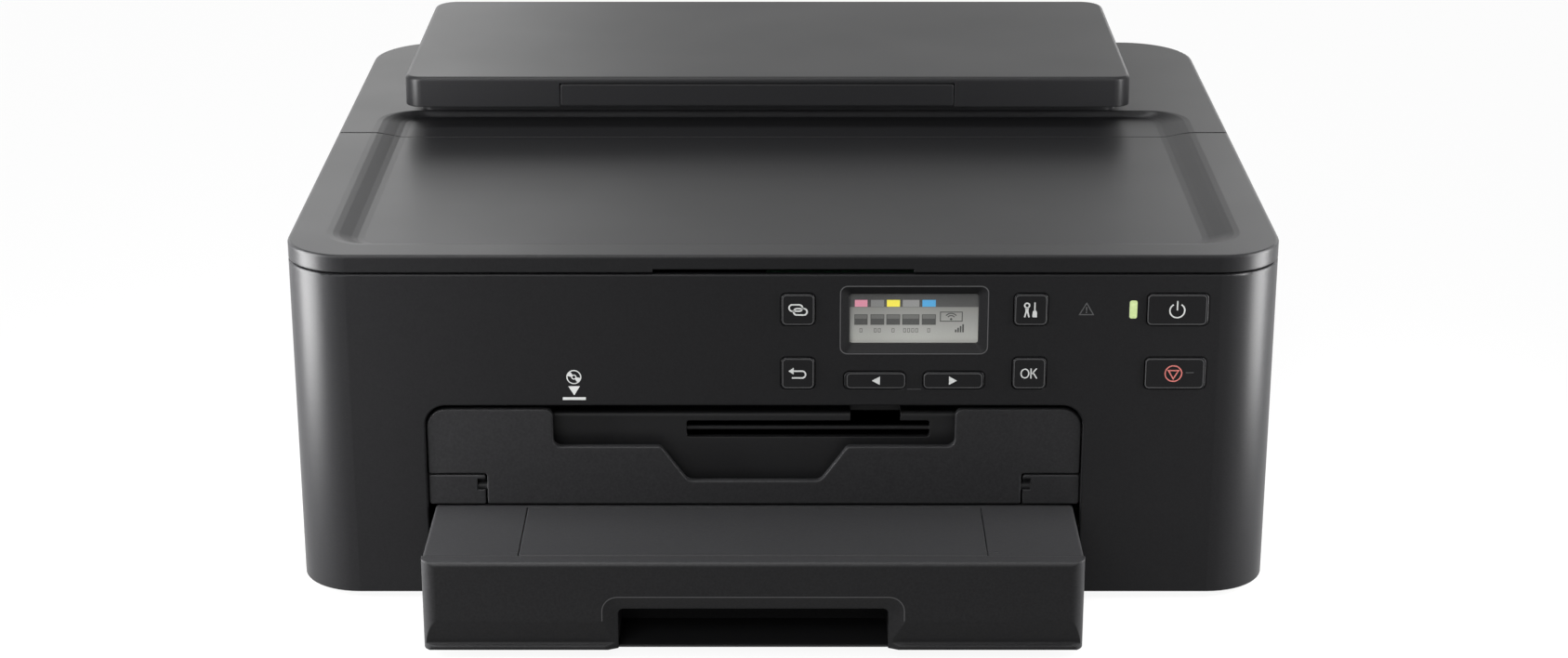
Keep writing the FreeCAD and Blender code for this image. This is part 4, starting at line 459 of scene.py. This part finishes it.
# Button symbols: pale grey pad-printed ink on the cap faces, red on the stop key.
# Each symbol moves with its cap.
CAP_D = -0.43
grey_ink = ink("pale_grey_pad_ink", "b6b7b6")
red_ink = ink("red_pad_ink", "b0625c")
dim_ink = ink("dark_grey_pad_ink", "363637")
ROW_LOW, ROW_HIGH, ARROWS_Z = 92.3, 117.5, 89.45
COL_A, COL_B, COL_C, COL_D, COL_E, STOP_X = 5.5, 34.6, 63.4, 91.8, 146.0, 145.6


def link_ring(u, v):
    """One chain link: a long rounded ring."""
    return arc(u + 1.25, v, 1.25, -90, 90, 10) + arc(u - 1.25, v, 1.25, 90, 270, 10)


links = stroke(link_ring(-0.85, 0.75), 0.6, True) + stroke(link_ring(0.85, -0.75), 0.6, True)
mark("connect_symbol", links, COL_A, ROW_HIGH, CAP_D, grey_ink, "connect_button")
bend = [(-1.7, 0.95), (1.5, 0.95)] + arc(1.5, -0.4, 1.35, 80, -80, 14) + [(1.5, -1.75), (-2.3, -1.75)]
back = stroke(bend, 0.6) + [[(-3.6, 0.95), (-1.6, -0.4), (-1.6, 2.3)]]
mark("back_symbol", back, COL_A, ROW_LOW, CAP_D, grey_ink, "back_button")
left = [(-1.5, 0), (1.5, -1.7), (1.5, 1.7)]
mark("left_symbol", [left], COL_B, ARROWS_Z, CAP_D, grey_ink, "left_button")
right = [(1.5, 0), (-1.5, 1.7), (-1.5, -1.7)]
mark("right_symbol", [right], COL_C, ARROWS_Z, CAP_D, grey_ink, "right_button")
spanner = stroke(arc(-1.5, 1.75, 0.9, 0, 345, 23), 0.55, True)
spanner += stroke([(-1.9, 0.9), (-1.75, -0.6), (-2.3, -2.9)], 0.6)
spanner += stroke([(-1.1, 0.9), (-1.25, -0.6), (-0.7, -2.9)], 0.6)
grip = [(0.55, -2.9), (2.25, -2.9), (2.25, -1.0), (1.85, -0.2), (0.95, -0.2), (0.55, -1.0)]
driver = [area(1.15, 1.65, -0.3, 2.9), grip]
mark("tools_symbol", spanner + driver, COL_D, ROW_HIGH, CAP_D, grey_ink, "tools_button")
o_ring = [(u * 0.82, v) for u, v in arc(0, 0, 1.75, 0, 345, 23)]
letters = stroke([(u - 1.6, v) for u, v in o_ring], 0.48, True)
letters += stroke([(0.65, -2.0), (0.65, 2.0)], 0.48)
letters += stroke([(0.75, -0.35), (2.75, 2.0)], 0.48) + stroke([(1.4, 0.4), (2.9, -2.0)], 0.48)
mark("ok_symbol", letters, COL_D, ROW_LOW, CAP_D, grey_ink, "ok_button")
power = stroke(arc(0, -0.3, 2.75, 122, 418, 32), 0.52) + [area(-0.27, 0.27, -0.2, 3.5)]
mark("power_symbol", power, COL_E, ROW_HIGH, CAP_D, grey_ink, "power_button")
stop = stroke(arc(0, 0, 3.1, 0, 350, 35), 0.48, True)
stop += stroke([(-1.9, 1.2), (1.9, 1.2), (0, -2.1)], 0.48, True)
mark("stop_symbol", stop, STOP_X, ROW_LOW, CAP_D, red_ink, "stop_button")
mark("stop_dash", [area(4.6, 7.6, 0.2, 0.5)], STOP_X, ROW_LOW, CAP_D, dim_ink, "stop_button")

# Rims of the caps, the display bezel and the handle pocket: rounded mould edges that catch the light.
# Thin flat strips of a paler, smoother grey are painted highlights that stand for that light; each moves
# with its own part.
rim_highlight_ink = ink("painted_rim_highlight", "3a3a3b", 0.3)
CAP, CAP_WIDE, CAP_SLIM, STRIP_IN, STRIP_W, STRIP_R = 12.4, 22.6, 6.7, 0.55, 0.28, 1.4


def round_box(width, height, radius):
    """Closed outline of a rectangle with round corners, about its middle."""
    u, v = width / 2 - radius, height / 2 - radius
    made = []
    for turn, (a, b) in enumerate(((u, v), (-u, v), (-u, -v), (u, -v))):
        made += arc(a, b, radius, turn * 90, turn * 90 + 90, 6)
    return made


CAPS = [("connect", COL_A, ROW_HIGH, CAP, CAP), ("back", COL_A, ROW_LOW, CAP, CAP)]
CAPS += [("left", COL_B, ARROWS_Z, CAP_WIDE, CAP_SLIM), ("right", COL_C, ARROWS_Z, CAP_WIDE, CAP_SLIM)]
CAPS += [("tools", COL_D, ROW_HIGH, CAP, CAP), ("ok", COL_D, ROW_LOW, CAP, CAP)]
CAPS += [("power", COL_E, ROW_HIGH, CAP_WIDE, CAP), ("stop", COL_E, ROW_LOW, CAP_WIDE, CAP)]
for name, x, z, width, height in CAPS:
    rim_strip = stroke(round_box(width - 2 * STRIP_IN, height - 2 * STRIP_IN, STRIP_R), STRIP_W, True)
    mark(name + "_rim_highlight", rim_strip, x, z, CAP_D, rim_highlight_ink, name + "_button")
bezel_x, bezel_z = (LCD_X0 + LCD_X1) / 2, (LCD_Z0 + LCD_Z1) / 2
BEZEL, BEZEL_R, BEZEL_W, PROUD = 7.0, 2.7, 0.4, -0.03
bezel = stroke(round_box(LCD_X1 - LCD_X0 + BEZEL, LCD_Z1 - LCD_Z0 + BEZEL, BEZEL_R), BEZEL_W, True)
mark("bezel_rim_highlight", bezel, bezel_x, bezel_z, PROUD, rim_highlight_ink, "case")
RIM_X, RIM_TOP, RIM_LOW, RIM_R, RIM_D = 55.3, 21.65, 12.0, 5.75, -51.98
rim_line = [(-RIM_X, RIM_LOW)] + arc(-RIM_X + RIM_R, RIM_TOP - RIM_R, RIM_R, 180, 90, 8)
rim_line += arc(RIM_X - RIM_R, RIM_TOP - RIM_R, RIM_R, 90, 0, 8) + [(RIM_X, RIM_LOW)]
rim_z = front_low.z * 1000
mark("pocket_rim_highlight", stroke(rim_line, 0.35), sheet_x * 1000, rim_z, RIM_D, rim_highlight_ink, "cassette")

# Marks on the case: the unlit warning triangle, the disc-tray arrow and the line under the arrows.
# All are printed straight on the textured front.
warn = stroke([(-2.6, -2.0), (2.6, -2.0), (0, 2.5)], 0.4, True)
warn += [area(-0.25, 0.25, -0.5, 1.0), area(-0.25, 0.25, -1.35, -0.85)]
mark("warning_symbol", warn, 112.4, ROW_HIGH, PROUD, dim_ink, "case")
DISC_V = 9.25
disc = stroke(arc(0, DISC_V, 2.6, 0, 345, 23), 0.4, True)
disc += stroke(arc(0, DISC_V, 0.8, 0, 330, 11), 0.4, True)
for start in (120, -60):
    disc += stroke(arc(0, DISC_V, 1.7, start, start + 52, 6), 1.5)
disc += [[(-2.2, 5.6), (2.2, 5.6), (0, 1.95)], area(-4.3, 4.3, 0.1, 1.2)]
mark("disc_arrow", disc, -78.2, 81.5, PROUD, grey_ink, "case")
mark("arrow_line", [area(-2.6, 2.6, -0.1, 0.1)], 48.9, 85.9, PROUD, dim_ink, "case")

# Belt teeth: ribs moulded on the inside of the belt, one every 4 mm of its two straight runs.
# A small bar is repeated along each run by nodes and made one mesh.
belt_low, belt_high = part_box("timing_belt")


def repeat_tree(name):
    """Nodes that copy the mesh along X: inputs are the count, the step and the material."""
    tree = bpy.data.node_groups.new(name, "GeometryNodeTree")
    sockets = {}
    given_kinds = {"Geometry": "Geometry", "Count": "Int", "Step": "Vector", "Finish": "Material"}
    for label, kind in given_kinds.items():
        sockets[label] = tree.interface.new_socket(label, in_out="INPUT", socket_type="NodeSocket" + kind)
    tree.interface.new_socket("Geometry", in_out="OUTPUT", socket_type="NodeSocketGeometry")
    given = add(tree, "NodeGroupInput")
    line = add(
        tree, "GeometryNodeMeshLine", {"Count": given.outputs["Count"], "Offset": given.outputs["Step"]}
    )
    copies = add(
        tree,
        "GeometryNodeInstanceOnPoints",
        {"Points": line.outputs[0], "Instance": given.outputs["Geometry"]},
    )
    real = add(tree, "GeometryNodeRealizeInstances", {"Geometry": copies.outputs[0]})
    dressed = add(
        tree, "GeometryNodeSetMaterial", {"Geometry": real.outputs[0], "Material": given.outputs["Finish"]}
    )
    add(tree, "NodeGroupOutput", {"Geometry": dressed.outputs[0]})
    return tree, sockets


row_tree, row_sockets = repeat_tree("row_of_copies")


def row(name, bm, count, step, mat, body):
    """A row of copies of one small shape, turned into a plain mesh that rides on a body."""
    mesh = bpy.data.meshes.new(name)
    bm.to_mesh(mesh)
    bm.free()
    piece = bpy.data.objects.new(name, mesh)
    bpy.context.scene.collection.objects.link(piece)
    mod = piece.modifiers.new("row", "NODES")
    mod.node_group = row_tree
    mod[row_sockets["Count"].identifier] = count
    mod[row_sockets["Step"].identifier] = step
    mod[row_sockets["Finish"].identifier] = mat
    ready = piece.evaluated_get(bpy.context.evaluated_depsgraph_get())
    made = bpy.data.meshes.new_from_object(ready)
    piece.modifiers.clear()
    piece.data = made
    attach(piece, body)
    return piece


BELT_T, TOOTH_H, TOOTH_W, TOOTH_STEP, TURNS, SUNK = 0.0012, 0.0007, 0.0016, 0.004, 0.04, 0.0001
tooth_count = int((belt_high.x - belt_low.x - TURNS) / TOOTH_STEP)
tooth_x = -(tooth_count - 1) * TOOTH_STEP / 2
for name, z in (("low", belt_low.z + BELT_T), ("high", belt_high.z - BELT_T - TOOTH_H)):
    x0, x1 = tooth_x - TOOTH_W / 2, tooth_x + TOOTH_W / 2
    tooth = bar(x0, x1, belt_low.y, belt_high.y, z - SUNK, z + TOOTH_H + SUNK)
    row("belt_teeth_" + name, tooth, tooth_count, (TOOTH_STEP, 0, 0), rubber, "case")

# Tank labels: a coloured patch printed on top of each ink tank, so that each goes in its place.
# The order is the same as the tabs on the display; they ride with the carriage.
tank_low, tank_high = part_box("ink_tanks")
LABELS = [(13.0, "b03a63"), (13.0, "54565a"), (13.0, "d8c62f"), (20.0, "54565a"), (13.0, "2a84b5")]
TANK_GAP, LABEL_EDGE, LABEL_T, LATCH_H, LABEL_Y0, LABEL_Y1 = 1.6, 1.8, 0.04, 3.0, -0.021, -0.001
label_x = tank_low.x
label_z = tank_high.z - LATCH_H / 1000
for i, (width, code) in enumerate(LABELS):
    x0 = label_x + LABEL_EDGE / 1000
    x1 = label_x + (width - LABEL_EDGE) / 1000
    patch = bar(x0, x1, LABEL_Y0, LABEL_Y1, label_z, label_z + LABEL_T / 1000)
    solid("tank_label_" + str(i), patch, ink("label_ink_" + str(i), code), "carriage")
    label_x += (width + TANK_GAP) / 1000

# Floor: a plain sheet of pale studio paper under the printer, matt, with a faint fibre.
# It is seen as white, and still takes the printer's shadow.
bpy.ops.mesh.primitive_plane_add(size=8, location=(0, 1.0, 0))
floor = bpy.context.object
floor.name = "studio_floor"
floor_mat, floor_tree, floor_out = start_material("white_studio_paper")
floor_place = add(floor_tree, "ShaderNodeTexCoord").outputs["Object"]
fibre = add(floor_tree, "ShaderNodeTexNoise", {"Vector": floor_place, "Scale": 400.0})
fibre_tint = add(
    floor_tree,
    "ShaderNodeMix",
    {"Factor": fibre.outputs["Fac"], 6: paint("c4c4c4"), 7: paint("cacaca")},
    data_type="RGBA",
)
ray = add(floor_tree, "ShaderNodeLightPath")
floor_direct = add(
    floor_tree,
    "ShaderNodeMath",
    {0: ray.outputs["Is Camera Ray"], 1: ray.outputs["Is Glossy Ray"]},
    operation="MAXIMUM",
)
floor_seen = add(
    floor_tree,
    "ShaderNodeMath",
    {0: floor_direct.outputs[0], 1: ray.outputs["Is Transmission Ray"]},
    operation="MAXIMUM",
)
# Little of the floor's light comes back up, as from a grey table.
floor_tint = add(
    floor_tree,
    "ShaderNodeMix",
    {"Factor": floor_seen.outputs[0], 6: paint("5c5c5c"), 7: fibre_tint.outputs[2]},
    data_type="RGBA",
)
floor_matt = add(floor_tree, "ShaderNodeBsdfDiffuse", {"Color": floor_tint.outputs[2]})
floor_white = add(floor_tree, "ShaderNodeEmission", {"Color": paint("ffffff"), "Strength": 1.0})
# The paper is seen mostly as white; the rest is its own shading, which keeps the shadow.
share = add(floor_tree, "ShaderNodeMath", {0: floor_seen.outputs[0], 1: 0.92}, operation="MULTIPLY")
floor_mix = add(
    floor_tree,
    "ShaderNodeMixShader",
    {"Fac": share.outputs[0], 1: floor_matt.outputs[0], 2: floor_white.outputs[0]},
)
floor_tree.links.new(floor_mix.outputs[0], floor_out.inputs[0])
floor.data.materials.append(floor_mat)

# Surround: plain white to the eye, in gloss and through glass, and dim as a lamp.
# The soft lamps below do the lighting.
world = bpy.data.worlds.new("studio_surround")
bpy.context.scene.world = world
world.use_nodes = True
sky = world.node_tree
sky.nodes.clear()
sky_ray = add(sky, "ShaderNodeLightPath")
sky_seen = add(
    sky,
    "ShaderNodeMath",
    {0: sky_ray.outputs["Is Camera Ray"], 1: sky_ray.outputs["Is Glossy Ray"]},
    operation="MAXIMUM",
)
sky_all = add(
    sky,
    "ShaderNodeMath",
    {0: sky_seen.outputs[0], 1: sky_ray.outputs["Is Transmission Ray"]},
    operation="MAXIMUM",
)
level = add(sky, "ShaderNodeMapRange", {"Value": sky_all.outputs[0], 3: 0.2, 4: 1.0})
back_light = add(sky, "ShaderNodeBackground", {"Color": (1, 1, 1, 1), "Strength": level.outputs[0]})
add(sky, "ShaderNodeOutputWorld", {"Surface": back_light.outputs[0]})

# Lamps: large soft boxes above, in front and behind, and a narrow strip beside each front corner.
# The strips draw the bright bands down the round corners of the case.


def softbox(name, place, aim, width, height, watts):
    """Rectangular soft lamp turned to a point."""
    lamp_data = bpy.data.lights.new(name, "AREA")
    lamp_data.shape = "RECTANGLE"
    lamp_data.size = width
    lamp_data.size_y = height
    lamp_data.energy = watts
    holder = bpy.data.objects.new(name, lamp_data)
    bpy.context.scene.collection.objects.link(holder)
    holder.location = place
    holder.rotation_euler = (Vector(aim) - Vector(place)).to_track_quat("-Z", "Y").to_euler()
    return holder


softbox("top_softbox", (-0.25, -0.25, 1.8), (0, 0, 0), 0.9, 0.9, 30)
softbox("key_softbox", (-0.8, -2.0, 1.6), (0, 0, 0.08), 1.4, 1.0, 42)
softbox("left_strip", (-0.345, -0.15, 0.13), (-0.16, -0.11, 0.07), 0.14, 0.26, 5.4)
softbox("right_strip", (0.345, -0.135, 0.13), (0.16, -0.10, 0.07), 0.11, 0.26, 3.5)
softbox("left_rear_softbox", (-0.9, 1.6, 0.7), (0, 0, 0.1), 1.5, 0.9, 8)
softbox("right_rear_softbox", (1.0, 1.5, 0.66), (0, 0, 0.1), 1.3, 0.9, 7)

# Camera: a long lens in front of the printer, looking down at it by about 20 degrees.
# Lens, height and tilt follow the photograph's perspective.
view = bpy.data.cameras.new("photo_view")
view.lens = 70.0
view.sensor_width = 36.0
view.sensor_fit = "HORIZONTAL"
view.shift_x = 0.0005
view.shift_y = -0.0062
view.clip_start = 0.02
eye = bpy.data.objects.new("photo_view", view)
bpy.context.scene.collection.objects.link(eye)
eye.location = (0, -1.1952, 0.4951)
eye.rotation_euler = (math.radians(90 - 19.71), 0, 0)
bpy.context.scene.camera = eye
bpy.context.scene.view_settings.view_transform = "Standard"
